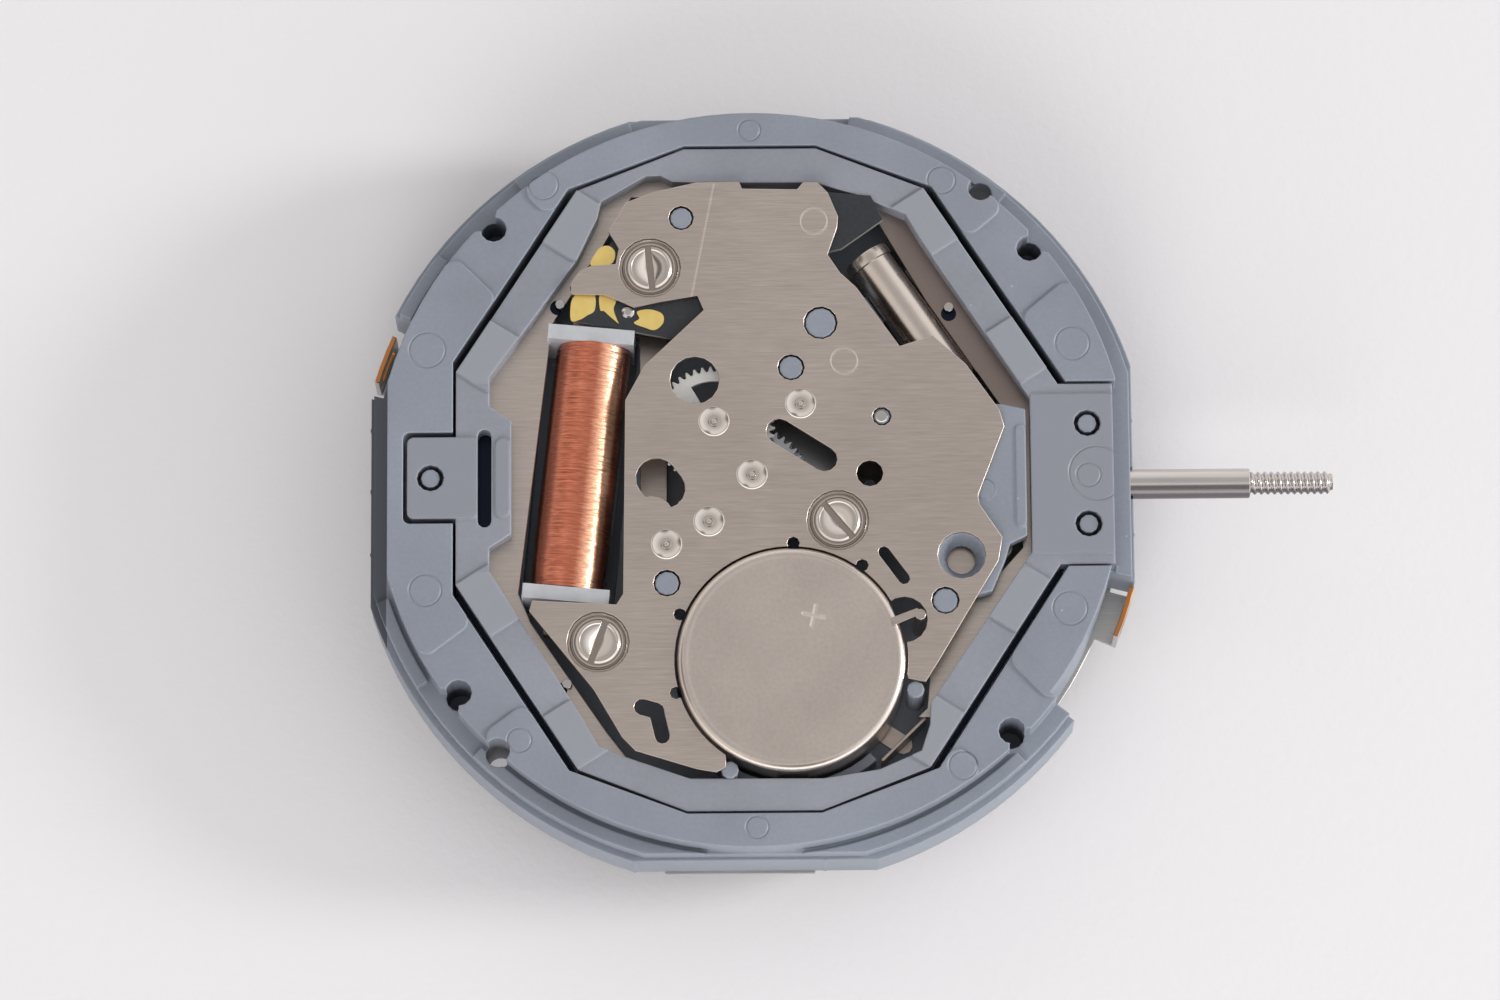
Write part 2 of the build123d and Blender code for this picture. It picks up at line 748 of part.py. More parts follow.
def train_bridge():
    face = outline(placed(bridge_outline_shares))
    face -= Pos(*spots["cell"]) * Circle(cell_r + gap)
    for place in placed(notch_shares):
        face -= Pos(*place) * disc(notch_r)
    for place, radius in zip(placed(window_shares), window_radii):
        face -= Pos(*place) * disc(radius)
    face -= Pos(*spots["crescent"]) * disc(crescent_r)
    for ends, radius in zip(slot_shares, slot_radii):
        face -= stadium(*placed(ends), radius)
    bite = Pos(*placed([bean_bite_share])[0]) * disc(bean_bite_r)
    face -= stadium(*placed(bean_shares), bean_r) - bite
    for place, radius in zip(pin_places, pin_radii):
        face -= Pos(*place) * disc(radius + pin_hole_gap)
    for place, radius in zip(support_pins, support_pin_radii):
        face -= Pos(*place) * disc(radius + pin_hole_gap)
    face -= Pos(*spots["yoke_post"]) * disc(yoke_pin_r + pin_hole_gap)
    body = slab(face, bridge_low, bridge_top)
    for place in screw_places:
        body -= rod(place, recess_r, bridge_top - recess_depth, bridge_top + overrun)
        body -= rod(place, screw_bore_r, bridge_low - overrun, bridge_top)
    for place in (spots["hands"], spots["third"], spots["fifth"], spots["rotor"], spots["minute"]):
        body -= rod(place, pivot_r + fit, bridge_low - overrun, bridge_top + overrun)
        body -= frustum(place, sink_r, pivot_r + fit, bridge_top, bridge_t - fit)
    return body


screw_head_r = 0.88
screw_step_r = 0.66
screw_step = 0.06
screw_rise = 0.08
screw_slot_half = 0.09
screw_slot_depth = 0.07
screw_tip = deck + gap
screw_turns = (96.0, 70.0, 130.0)


def bridge_screws():
    screws = []
    seat = bridge_top - recess_depth
    for place, turn in zip(screw_places, screw_turns):
        screw = rod(place, screw_r, screw_tip, seat)
        screw += rod(place, screw_head_r, seat, seat + screw_step)
        screw += rod(place, screw_step_r, seat, seat + screw_step + screw_rise)
        slot = Pos(*place) * Rot(0, 0, turn) * Rectangle(3 * screw_head_r, 2 * screw_slot_half)
        top = seat + screw_step + screw_rise
        screw -= slab(slot, top - screw_slot_depth, top + overrun)
        screws.append(screw)
    return Compound(children=screws)


# The circuit: plastic support, black board, gold pads, chip and crystal

support_t = 0.30
board_t = 0.20
pad_t = 0.02
board_low = support_low + support_t
board_top = board_low + board_t
support_pin_radii = (0.46, 0.355)
support_leg_r = 0.35
board_outline_shares = ((-0.520, 0.482), (-0.250, 0.430), (0.060, 0.430), (0.080, 0.285),
                        (0.160, 0.285), (0.275, 0.460), (0.260, 0.620), (0.235, 0.695),
                        (0.275, 0.705), (0.402, 0.795), (0.365, 0.870), (0.240, 0.882),
                        (-0.260, 0.882), (-0.460, 0.690), (-0.545, 0.590))
support_inset = 0.12
crystal_lean = -56.0
crystal_z = deck + crystal_r + gap
chip_size = (1.30, 1.10, 0.30)


def board_face():
    face = outline(placed(board_outline_shares))
    face -= Pos(*screw_places[0]) * disc(boss_r + gap)
    face -= Pos(*pin_places[0]) * disc(pin_radii[0] + gap)
    return face


def circuit_support():
    face = board_face()
    inside = offset(face, amount=-support_inset)
    crystal_room = Pos(*spots["crystal"]) * Rot(0, 0, crystal_lean) * Rectangle(
        2 * crystal_len, 2 * (crystal_r + 2 * gap))
    face = inside - crystal_room
    face -= Pos(*spots["chip"]) * Rectangle(chip_size[0] + gap, chip_size[1] + gap)
    body = slab(face, support_low, board_low)
    for place, radius in zip(support_pins, support_pin_radii):
        body += rod(place, radius, support_low, pin_rise)
    body += rod(support_leg, support_leg_r, deck, support_low)
    return body


def circuit_board():
    face = board_face()
    for place, radius in zip(support_pins, support_pin_radii):
        face -= Pos(*place) * disc(radius + gap)
    return slab(face, board_low, board_top)


gold_pads = (((-4.95, 5.30), (-4.35, 5.30), 0.28), ((-3.25, 4.85), (-2.95, 4.75), 0.24),
             ((-4.72, 6.75), (-4.45, 6.95), 0.26), ((-3.90, 5.10), (-3.70, 5.08), 0.14))


def circuit_pads():
    return Compound(children=[slab(stadium(*pad), board_top, board_top + pad_t)
                              for pad in gold_pads])


def ic_chip():
    return slab(Pos(*spots["chip"]) * Rectangle(chip_size[0], chip_size[1]),
                board_low - chip_size[2], board_low)


crystal_rim = 0.06
crystal_rim_len = 0.35
crystal_lead_r = 0.10
crystal_lead_len = 0.60
crystal_lead_pitch = 0.45


def crystal_frame():
    return Pos(*spots["crystal"], crystal_z) * Rot(0, 0, crystal_lean) * Rot(0, 90, 0)


def quartz_crystal():
    body_r = crystal_r - crystal_rim
    can = Pos(0, 0, crystal_len / 2) * Cylinder(body_r, crystal_len)
    can = chamfer(can.edges().sort_by(Axis.Z)[-1], crystal_rim)
    can += Pos(0, 0, crystal_rim_len / 2) * Cylinder(crystal_r, crystal_rim_len)
    for side in (-1, 1):
        lead = extrude(disc(crystal_lead_r), amount=-crystal_lead_len)
        can += Pos(0, side * crystal_lead_pitch / 2) * lead
    return crystal_frame() * can


cradle_wall = 0.25
cradle_len = 1.00
cradle_shares = (0.30, 0.80)


def crystal_cradle():
    # Two plastic saddles that hold the crystal on the deck
    saddles = []
    height = crystal_z - deck
    for share in cradle_shares:
        along = crystal_len * share
        block = Box(height, 2 * (crystal_r + cradle_wall), cradle_len)
        saddle = Pos(height / 2, 0, along) * block
        saddle -= Pos(0, 0, along) * Cylinder(crystal_r - crystal_rim + fit, 2 * cradle_len)
        saddles.append(crystal_frame() * saddle)
    return Compound(children=saddles)


# The motor: coil on its bobbin and core, stator, and the magnet of the rotor

core_half = 0.45
core_tab_half = 0.60
core_tab_len = 0.90
core_wall = 0.15
bobbin_low = coil_z - bobbin_half
stator_hole_r = 0.72
stator_web = 0.50
stator_arm_r = 0.40
stator_neck_r = 0.24
stator_knee_rise = 0.12
magnet_r = 0.55
magnet_t = 0.30


def coil_winding():
    barrel = Cylinder(coil_r, coil_len, rotation=(90, 0, 0))
    hole = Box(2 * (core_half + core_wall), coil_len + overrun, core_t + 2 * core_wall)
    return coil_place(0, coil_z) * (barrel - hole)


def coil_bobbin():
    height = bridge_low - bobbin_drop - bobbin_low
    shape = Box(2 * (core_half + core_wall), coil_len, core_t + 2 * core_wall)
    for side in (-1, 1):
        along = side * (coil_len + bobbin_t) / 2
        flange = Pos(0, along, bobbin_low + height / 2 - coil_z)
        shape += flange * Box(2 * bobbin_half, bobbin_t, height)
    shape -= Box(2 * core_half, coil_len + 2 * bobbin_t + overrun, core_t)
    return coil_place(0, coil_z) * shape


def coil_core():
    length = coil_len + 2 * bobbin_t
    shape = Box(2 * core_half, length + 2 * core_tab_len, core_t)
    for side in (-1, 1):
        along = side * (length + core_tab_len) / 2
        shape += Pos(0, along) * Box(2 * core_tab_half, core_tab_len, core_t)
    return coil_place(0, coil_z) * shape


def stator():
    north, south = stator_ends()
    corridor_x = spots["coil_top"][0] + bobbin_half + stator_arm_r + 2 * gap
    elbow = (corridor_x, spots["rotor"][1] + stator_hole_r)
    knee = (spots["rotor"][0] - stator_hole_r - stator_web, south[1] + stator_knee_rise)
    face = Pos(*spots["rotor"]) * disc(stator_hole_r + stator_web)
    face += stadium(north, (corridor_x, north[1]), stator_arm_r)
    face += stadium((corridor_x, north[1]), elbow, stator_arm_r)
    face += stadium(south, knee, stator_neck_r)
    face += stadium(knee, spots["rotor"], stator_arm_r)
    for place in (north, south):
        face += Pos(*place) * disc(stator_arm_r)
    face -= Pos(*spots["rotor"]) * disc(stator_hole_r)
    for place, radius in zip(pin_places, pin_radii):
        face -= Pos(*place) * disc(radius + gap)
    return slab(face, stator_low, stator_top)


def arbor(place, low, high):
    body = true_rod(place, arbor_r, low, high)
    body += rod(place, pivot_r, deck - pivot_depth, high)
    return body + rod(place, pivot_r, low, bridge_low + bridge_t / 3)


arbor_low = deck + shoulder
arbor_high = bridge_low - shoulder


def rotor_pinion():
    high = fifth_low + 2 * wheel_t
    body = arbor(spots["rotor"], arbor_low, arbor_high)
    return body + toothed(spots["rotor"], rotor_teeth, rotor_module, rotor_phase,
                          fifth_low - wheel_t / 2, high)


def rotor_magnet():
    low = stator_low + (stator_t - magnet_t) / 2
    body = rod(spots["rotor"], magnet_r, low, low + magnet_t)
    return body - rod(spots["rotor"], arbor_r, low - overrun, low + overrun)


fourth_spokes = 5
third_spokes = 3
spoke_half_share = 0.28
rim_share = 0.78
fourth_eye_r = 0.80
third_eye_r = 0.48


def wheel_disc(place, teeth, module, phase, low, spokes, eye_r):
    # A toothed disc with openings between its spokes
    body = toothed(place, teeth, module, phase, low, low + wheel_t)
    rim_r = teeth * module / 2 * rim_share
    half_turn = 180 / spokes
    reach = half_turn * (1 - spoke_half_share)
    for spoke in range(spokes):
        middle = phase + spoke * 2 * half_turn
        opening = Pos(*place) * sector(eye_r, rim_r, middle - reach, middle + reach)
        body -= slab(opening, low - overrun, low + overrun)
    return body


pinion_bore = arbor_r


def fifth_wheel():
    body = toothed(spots["fifth"], fifth_teeth, rotor_module, fifth_leaf_phase, fifth_low,
                   fifth_low + wheel_t)
    return body - rod(spots["fifth"], pinion_bore, fifth_low - overrun, fifth_low + overrun)


def fifth_pinion():
    body = arbor(spots["fifth"], arbor_low, arbor_high)
    return body + toothed(spots["fifth"], fifth_leaves, fifth_module, fifth_leaf_phase,
                          fifth_low + wheel_t, fourth_low + 2 * wheel_t)


def fourth_wheel():
    body = wheel_disc(spots["hands"], fourth_teeth, fifth_module, 0, fourth_low,
                      fourth_spokes, fourth_eye_r)
    return body - rod(spots["hands"], pinion_bore, fourth_low - overrun, fourth_low + overrun)


def fourth_pinion():
    body = rod(spots["hands"], arbor_r, cannon_tip, arbor_high)
    body += true_rod(spots["hands"], arbor_r - hand_seat_relief, seconds_tip, cannon_tip)
    body += rod(spots["hands"], pivot_r, arbor_high, bridge_low + bridge_t / 3)
    return body + toothed(spots["hands"], fourth_leaves, third_module, 0, fourth_low + wheel_t,
                          third_low + 2 * wheel_t)


def third_wheel():
    body = wheel_disc(spots["third"], third_teeth, third_module, third_phase, third_low,
                      third_spokes, third_eye_r)
    return body - rod(spots["third"], pinion_bore, third_low - overrun, third_low + overrun)


def third_pinion():
    body = arbor(spots["third"], arbor_low, arbor_high)
    return body + toothed(spots["third"], third_leaves, centre_module, third_phase,
                          centre_low - wheel_t / 3, centre_low + wheel_t * 4 / 3)


centre_hub_r = 0.55
centre_hub_low = motion_low + wheel_t + fit
centre_hub_top = fifth_low - gap


def centre_wheel():
    body = toothed(spots["hands"], centre_teeth, centre_module, centre_phase, centre_low,
                   centre_low + wheel_t)
    body += rod(spots["hands"], centre_hub_r, centre_hub_low, centre_hub_top)
    return body - true_rod(spots["hands"], cannon_r + fit / 2, deck, bridge_low)


def cannon_pinion():
    body = rod(spots["hands"], cannon_r, hour_tip - gap, centre_hub_top + gap)
    body += true_rod(spots["hands"], cannon_r - hand_seat_relief, cannon_tip, hour_tip - gap)
    body += toothed(spots["hands"], cannon_teeth, motion_module, 0, motion_low, motion_low + wheel_t)
    return body - rod(spots["hands"], cannon_bore, cannon_tip - overrun, bridge_low)


def minute_wheel():
    body = toothed(spots["minute"], minute_teeth, motion_module, minute_phase, motion_low,
                   motion_low + wheel_t)
    return body - rod(spots["minute"], arbor_r, motion_low - overrun, motion_low + overrun)


minute_pinion_low = sheet_t + gap


def minute_pinion():
    body = true_rod(spots["minute"], arbor_r, minute_pinion_low, arbor_high)
    body += rod(spots["minute"], pivot_r, arbor_high, bridge_low + bridge_t / 3)
    return body + toothed(spots["minute"], minute_leaves, hour_module, minute_phase,
                          minute_pinion_low, floor_low - gap)


def hour_wheel():
    body = toothed(spots["hands"], hour_teeth, hour_module, hour_phase, hour_low,
                   hour_low + wheel_t)
    body += true_rod(spots["hands"], hour_tube_r, hour_tip, hour_low + wheel_t)
    return body - rod(spots["hands"], hour_bore, hour_tip - overrun, deck)


def setting_wheel():
    body = toothed(setting_place, setting_teeth, motion_module, setting_phase, motion_low,
                   motion_low + wheel_t)
    body += rod(setting_place, 2 * setting_post_r, motion_low, motion_low + 2 * wheel_t)
    return body - true_rod(setting_place, setting_post_r + fit, motion_low - overrun,
                           motion_low + overrun)


# The keyless works: stem, clutch wheel, yoke and setting lever

square_half = 0.25
stem_inner = 4.85
square_end = 6.55
stem_groove = (6.66, 7.08)
stem_groove_r = 0.30
stem_pull = 0.90
thread_len = 2.50
thread_r = 0.35
clutch_bore_half = square_half + fit
clutch_groove = (0.58, 0.90)
clutch_groove_r = 0.48
crown_teeth = 8
crown_depth = 0.14
crown_core_r = 0.46


def along_stem(face, first, last):
    return Pos(first, 0, stem_z) * Rot(0, 90, 0) * extrude(face, amount=last - first)


def stem():
    square = Box(square_end - stem_inner, 2 * square_half, 2 * square_half)
    body = Pos((stem_inner + square_end) / 2, 0, stem_z) * square
    body += along_stem(disc(stem_r), square_end, stem_groove[0])
    body += along_stem(disc(stem_groove_r), stem_groove[0], stem_groove[1])
    body += along_stem(disc(stem_r), stem_groove[1], stem_reach - thread_len)
    body += along_stem(Circle(thread_r), stem_reach - thread_len, stem_reach)
    return body


def clutch_wheel():
    high_x = clutch_low_x + clutch_len
    body = along_stem(Circle(clutch_r), clutch_low_x, high_x)
    groove = along_stem(disc(clutch_r + overrun), clutch_low_x + clutch_groove[0],
                        clutch_low_x + clutch_groove[1])
    groove -= along_stem(disc(clutch_groove_r), clutch_low_x, high_x)
    body -= groove
    bite_half = math.pi * clutch_r / crown_teeth / 2
    reach = clutch_r - crown_core_r + overrun
    for tooth in range(crown_teeth):
        bite = Box(2 * crown_depth, 2 * bite_half, reach)
        turn = Rot(tooth * 360 / crown_teeth, 0, 0)
        body -= Pos(clutch_low_x, 0, stem_z) * turn * Pos(0, 0, crown_core_r + reach / 2) * bite
    bore = Box(3 * clutch_len, 2 * clutch_bore_half, 2 * clutch_bore_half)
    return body - Pos(clutch_low_x + clutch_len / 2, 0, stem_z) * bore


yoke_len = 2.00
yoke_width = 0.84
yoke_finger_half = 0.10
yoke_finger_tip = clutch_groove_r + gap


def yoke():
    middle_x = (yoke_guides[0][0] + yoke_guides[1][0]) / 2 - yoke_shift / 2
    guide_y = yoke_guides[0][1]
    face = Pos(middle_x, guide_y) * Rectangle(yoke_len, yoke_width)
    face = fillet(face.vertices(), lug_corner_r)
    finger_x = clutch_low_x + (clutch_groove[0] + clutch_groove[1]) / 2
    reach = guide_y - yoke_finger_tip
    finger = Rectangle(2 * yoke_finger_half, reach)
    face += Pos(finger_x, yoke_finger_tip + reach / 2) * finger
    for x, y in yoke_guides:
        face -= stadium((x, y), (x + yoke_shift, y), yoke_guide_r + 2 * fit)
    return slab(face, yoke_low, yoke_low + yoke_t)


lever_arm = abs(spots["lever_pivot"][1])
lever_half_turn = math.asin(stem_pull / 2 / lever_arm)
lever_pin_place = (spots["lever_pivot"][0] - lever_arm * math.sin(lever_half_turn),
                   spots["lever_pivot"][1] + lever_arm * math.cos(lever_half_turn))
lever_stem_pin_r = 0.11
lever_stem_pin_low = stem_z + stem_groove_r + gap / 2
lever_hub_r = 0.46
lever_eye_r = 0.28
lever_push_r = 0.52


def setting_lever():
    face = stadium(spots["lever_pivot"], lever_pin_place, lever_eye_r)
    face += Pos(*spots["lever_pivot"]) * disc(lever_hub_r)
    face += stadium(spots["lever_pivot"], spots["funnel"], lever_eye_r)
    face += Pos(*spots["funnel"]) * disc(lever_push_r)
    face -= Pos(*spots["lever_pivot"]) * Circle(lever_pin_r + fit)
    body = slab(face, lever_low, lever_low + lever_t)
    return body + rod(lever_pin_place, lever_stem_pin_r, lever_stem_pin_low, lever_low)


# The plastic cover over the keyless works, with its funnel and its bar

cover_outline_shares = ((0.510, 0.205), (0.490, -0.120), (0.510, -0.320), (0.640, -0.378),
                        (0.715, -0.360), (0.757, -0.260), (0.770, -0.215), (0.822, -0.190),
                        (0.822, 0.200), (0.755, 0.215), (0.690, 0.220))
cover_t = 0.50
cover_top = cover_low + cover_t
emboss_r = 0.32
emboss_rise = 0.02
funnel_top_r = 0.70
funnel_low_r = 0.42
funnel_wall = 0.22
cover_bar_r = 0.16
cover_bar_top = bridge_low


def keyless_cover():
    face = outline(placed(cover_outline_shares))
    body = slab(face, cover_low, cover_top)
    body += rod(spots["funnel"], funnel_top_r + funnel_wall, cover_low, bridge_low)
    body += slab(stadium(*cover_bar, cover_bar_r), cover_low, cover_bar_top)
    body += rod(emboss_place, emboss_r, cover_low, cover_top + emboss_rise)
    for place in cover_feet:
        body += rod(place, cover_foot_r, deck, cover_low)
    height = bridge_low - cover_low
    return body - frustum(spots["funnel"], funnel_top_r, funnel_low_r, bridge_low, height)


# The button cell and its contacts

cell_edge_r = 0.22
cap_r = 2.85
cap_rise = 0.35
gasket_t = 0.16
clip_shares = ((0.418, -0.475), (0.498, -0.442), (0.490, -0.422), (0.410, -0.452))
clip_post_r = 0.17
clip_gap = 0.01
spring_t = 0.07
spring_pad_r = 1.10
spring_end_share = (0.445, -0.790)
spring_arm_r = 0.30
blade_shares = ((0.510, -0.728), (0.384, -0.852))
blade_t = 0.10
blade_h = 0.90


def battery_can():
    body = rod(spots["cell"], cell_r, cell_low, cell_low + cell_t)
    body = chamfer(body.edges().filter_by(GeomType.CIRCLE), cell_edge_r)
    return body - rod(spots["cell"], cap_r + gasket_t, cell_low - overrun, cell_low + cap_rise)


def battery_gasket():
    body = rod(spots["cell"], cap_r + gasket_t, cell_low, cell_low + cap_rise)
    return body - rod(spots["cell"], cap_r, cell_low - overrun, cell_low + overrun)


def battery_cap():
    return rod(spots["cell"], cap_r, cell_low, cell_low + cap_rise)


def cell_spring():
    # A round contact under the cell, with an arm to an upright blade beside the well
    end = placed([spring_end_share])[0]
    face = Pos(*spots["cell"]) * Circle(spring_pad_r)
    face += stadium(spots["cell"], end, spring_arm_r)
    body = slab(face, deck, deck + spring_t)
    body += slab(stadium(*placed(blade_shares), blade_t / 2), deck, deck + blade_h)
    return body + rod(spots["cell"], spring_pad_r / 2, deck, cell_low)


def cell_clip():
    low = cell_low + cell_t + clip_gap
    corners = placed(clip_shares)
    body = slab(outline(corners), low, low + spring_t)
    return body + rod(corners[1], clip_post_r, deck, low + spring_t)


parts = {
    "holding_plate": holding_plate,
    "dial_frame": dial_frame,
    "module_ring": module_ring,
    "retaining_ring": retaining_ring,
    "module_sheet": module_sheet,
    "sheet_rivets": sheet_rivets,
    "main_plate": main_plate,
    "train_bridge": train_bridge,
    "bridge_screws": bridge_screws,
    "circuit_support": circuit_support,
    "circuit_board": circuit_board,
    "circuit_pads": circuit_pads,
    "ic_chip": ic_chip,
    "quartz_crystal": quartz_crystal,
    "crystal_cradle": crystal_cradle,
    "coil_winding": coil_winding,
    "coil_bobbin": coil_bobbin,
    "coil_core": coil_core,
    "stator": stator,
    "rotor_magnet": rotor_magnet,
    "rotor_pinion": rotor_pinion,
    "fifth_wheel": fifth_wheel,
    "fifth_pinion": fifth_pinion,
    "fourth_wheel": fourth_wheel,
    "fourth_pinion": fourth_pinion,
    "third_wheel": third_wheel,
    "third_pinion": third_pinion,
    "centre_wheel": centre_wheel,
    "cannon_pinion": cannon_pinion,
    "minute_wheel": minute_wheel,
    "minute_pinion": minute_pinion,
    "hour_wheel": hour_wheel,
    "setting_wheel": setting_wheel,
    "stem": stem,
    "clutch_wheel": clutch_wheel,
    "yoke": yoke,
    "setting_lever": setting_lever,
    "keyless_cover": keyless_cover,
    "battery_can": battery_can,
    "battery_gasket": battery_gasket,
    "battery_cap": battery_cap,
    "cell_spring": cell_spring,
    "cell_clip": cell_clip,
}

os.makedirs("parts", exist_ok=True)
for name, make in parts.items():
    export_step(make(), f"parts/{name}.step")
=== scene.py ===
# A quartz watch movement seen from its battery side, lying dial side down on white paper.
# Grey moulded rings snap round a brushed nickel bridge, a wound copper coil and a button cell;
# the winding stem leaves the rings on the right.

import bpy
import bmesh
import math
import random
from mathutils import Matrix, Vector


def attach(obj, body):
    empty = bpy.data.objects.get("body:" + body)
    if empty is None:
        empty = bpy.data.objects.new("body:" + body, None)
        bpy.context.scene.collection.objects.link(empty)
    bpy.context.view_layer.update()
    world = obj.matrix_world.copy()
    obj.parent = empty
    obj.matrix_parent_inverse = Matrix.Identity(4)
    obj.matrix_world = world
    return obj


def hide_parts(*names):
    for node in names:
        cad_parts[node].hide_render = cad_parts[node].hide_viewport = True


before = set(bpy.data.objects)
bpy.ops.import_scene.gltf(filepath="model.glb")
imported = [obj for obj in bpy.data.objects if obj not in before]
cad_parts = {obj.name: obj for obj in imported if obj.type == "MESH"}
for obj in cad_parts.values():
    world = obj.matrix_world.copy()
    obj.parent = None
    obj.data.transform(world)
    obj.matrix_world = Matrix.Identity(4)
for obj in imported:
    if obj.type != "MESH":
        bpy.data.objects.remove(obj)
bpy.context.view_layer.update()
mm = 0.001

# The camera stands on a copy stand nearly over the movement, tipped a little to the south, with
# a long lens. It looks at the top of the bridge, and slips the picture by a few of its pixels

tilt = math.radians(14.0)
roll = math.radians(0.45)
stand_off = 220.0
bridge_top = 3.30
lens_length = 176.35
picture_width = 1500
slip_right, slip_up = -2, -26


def put_in_scene(name, data):
    made = bpy.data.objects.new(name, data)
    bpy.context.scene.collection.objects.link(made)
    return made


level = Vector((1, 0, 0))
upward = Vector((0, math.cos(tilt), math.sin(tilt)))
away = Vector((0, -math.sin(tilt), math.cos(tilt)))
camera_x = math.cos(roll) * level - math.sin(roll) * upward
camera_y = math.sin(roll) * level + math.cos(roll) * upward
camera_data = bpy.data.cameras.new("bench_camera")
camera_data.lens = lens_length
camera_data.sensor_width = 36.0
camera_data.shift_x = slip_right / picture_width
camera_data.shift_y = slip_up / picture_width
camera_data.clip_start = 0.01
camera_data.clip_end = 5.0
camera = put_in_scene("bench_camera", camera_data)
turn = Matrix((camera_x, camera_y, away)).transposed().to_4x4()
stand = (Vector((0, 0, bridge_top)) + away * stand_off) * mm
camera.matrix_world = Matrix.Translation(stand) @ turn
bpy.context.scene.camera = camera
bpy.context.scene.view_settings.view_transform = "Standard"


# White paper lies under the movement. A lamp in the south fills the shadows without showing in
# the metal, one in the east draws the edges, and a pale tent with dark cards hung in it stands
# round it all, so that the nickel has something to mirror

paper_level = -1.92
paper_half = 400.0
paper_roughness = 0.75
lamp_aim = Vector((0, 0, 0))
tent_light = 1.05
tent_west, tent_east = (0.86, 0.83, 0.81, 1), (1.06, 1.06, 1.08, 1)
# Each card: the way to its middle, full and no shade in degrees from there, the light it leaves
tent_cards = (((0.0, 0.24, 0.97), 14, 34, 0.55), ((0.10, -0.64, 0.76), 15, 23, 0.15),
              ((-0.76, 0.10, 0.64), 12, 20, 0.15), ((0.30, 0.80, 0.52), 8, 13, 0.15))


def feed(tree, node, inputs):
    # Each input of a node is either joined to a socket or set to a value
    for key, value in dict(inputs).items():
        if isinstance(value, bpy.types.NodeSocket):
            tree.links.new(value, node.inputs[key])
        else:
            node.inputs[key].default_value = value


def add(tree, kind, inputs=(), **settings):
    made = tree.nodes.new(kind)
    for key, value in settings.items():
        setattr(made, key, value)
    feed(tree, made, inputs)
    return made


def math_node(tree, operation, first, second=0.0, clamp=False):
    made = add(tree, "ShaderNodeMath", {0: first, 1: second}, operation=operation, use_clamp=clamp)
    return made.outputs[0]


def times(tree, first, second):
    return math_node(tree, "MULTIPLY", first, second)


def vector_node(tree, operation, first, second):
    return add(tree, "ShaderNodeVectorMath", {0: first, 1: second}, operation=operation).outputs


def split(tree, vector):
    return add(tree, "ShaderNodeSeparateXYZ", {0: vector}).outputs


def ramp(tree, value, low, high, first, last):
    # Runs from the first value to the last one while the given value goes from low to high
    made = add(tree, "ShaderNodeMapRange", {"Value": value, "From Min": low, "From Max": high,
                                            "To Min": first, "To Max": last})
    return made.outputs[0]


def place_of(tree):
    return tree.nodes.new("ShaderNodeTexCoord").outputs["Object"]


def noise(tree, place, scale, detail=2.0, stretch=None):
    if stretch:
        place = vector_node(tree, "MULTIPLY", place, stretch)[0]
    return add(tree, "ShaderNodeTexNoise", {"Vector": place, "Scale": scale, "Detail": detail}).outputs[0]


def ink(red, green, blue):
    # A colour given as it looks on screen, turned into light
    return tuple(((c / 255 + 0.055) / 1.055) ** 2.4 for c in (red, green, blue)) + (1.0,)


def blend_colour(tree, amount, first, second):
    made = add(tree, "ShaderNodeMix", data_type="RGBA")
    feed(tree, made, {0: amount, 6: first, 7: second})
    return made.outputs[2]


def bump(tree, height, depth, strength=1.0, under=None, invert=False):
    # Raises the face by up to this many millimetres, over the bumps that are already under it
    inputs = {"Height": height, "Distance": depth * mm, "Strength": strength}
    if under is not None:
        inputs["Normal"] = under
    return add(tree, "ShaderNodeBump", inputs, invert=invert).outputs[0]


def new_material(name):
    made = bpy.data.materials.new(name)
    made.use_nodes = True
    tree = made.node_tree
    tree.nodes.clear()
    skin = tree.nodes.new("ShaderNodeBsdfPrincipled")
    end = tree.nodes.new("ShaderNodeOutputMaterial")
    tree.links.new(skin.outputs[0], end.inputs["Surface"])
    return made, tree, skin


def paper():
    made, tree, skin = new_material("white_paper")
    place = place_of(tree)
    cloud = noise(tree, place, 9.0, 3.0)
    feed(tree, skin, {"Base Color": blend_colour(tree, cloud, ink(216, 214, 216), ink(222, 221, 223)),
                      "Normal": bump(tree, noise(tree, place, 4000.0), 0.01),
                      "Roughness": paper_roughness})
    return made


def mesh_of(name, points, faces):
    # The points are in millimetres
    mesh = bpy.data.meshes.new(name)
    mesh.from_pydata([Vector(point) * mm for point in points], [], faces)
    return mesh


paper_corners = [(x * paper_half, y * paper_half, paper_level)
                 for x, y in ((-1, -1), (1, -1), (1, 1), (-1, 1))]
table = put_in_scene("table_paper", mesh_of("table_paper", paper_corners, [(0, 1, 2, 3)]))
table.data.materials.append(paper())


def soft_box(name, place, size, power, tint, mirrored=True):
    light = bpy.data.lights.new(name, "AREA")
    light.shape = "DISK"
    light.size = size * mm
    light.energy = power
    light.color = tint
    lamp = put_in_scene(name, light)
    lamp.location = Vector(place) * mm
    lamp.rotation_euler = (lamp_aim - Vector(place)).to_track_quat("-Z", "Y").to_euler()
    lamp.visible_glossy = mirrored


soft_box("south_box", (-60, -320, 230), 200, 0.48, (1.0, 0.99, 0.98), mirrored=False)
soft_box("side_box", (400, 20, 170), 90, 0.95, (1.0, 0.98, 0.96))

ceiling = bpy.data.worlds.new("pale_ceiling")
ceiling.use_nodes = True
sky = ceiling.node_tree
sky.nodes.clear()
sky_end = sky.nodes.new("ShaderNodeOutputWorld")
bearing = sky.nodes.new("ShaderNodeTexCoord").outputs["Generated"]
aim = split(sky, bearing)


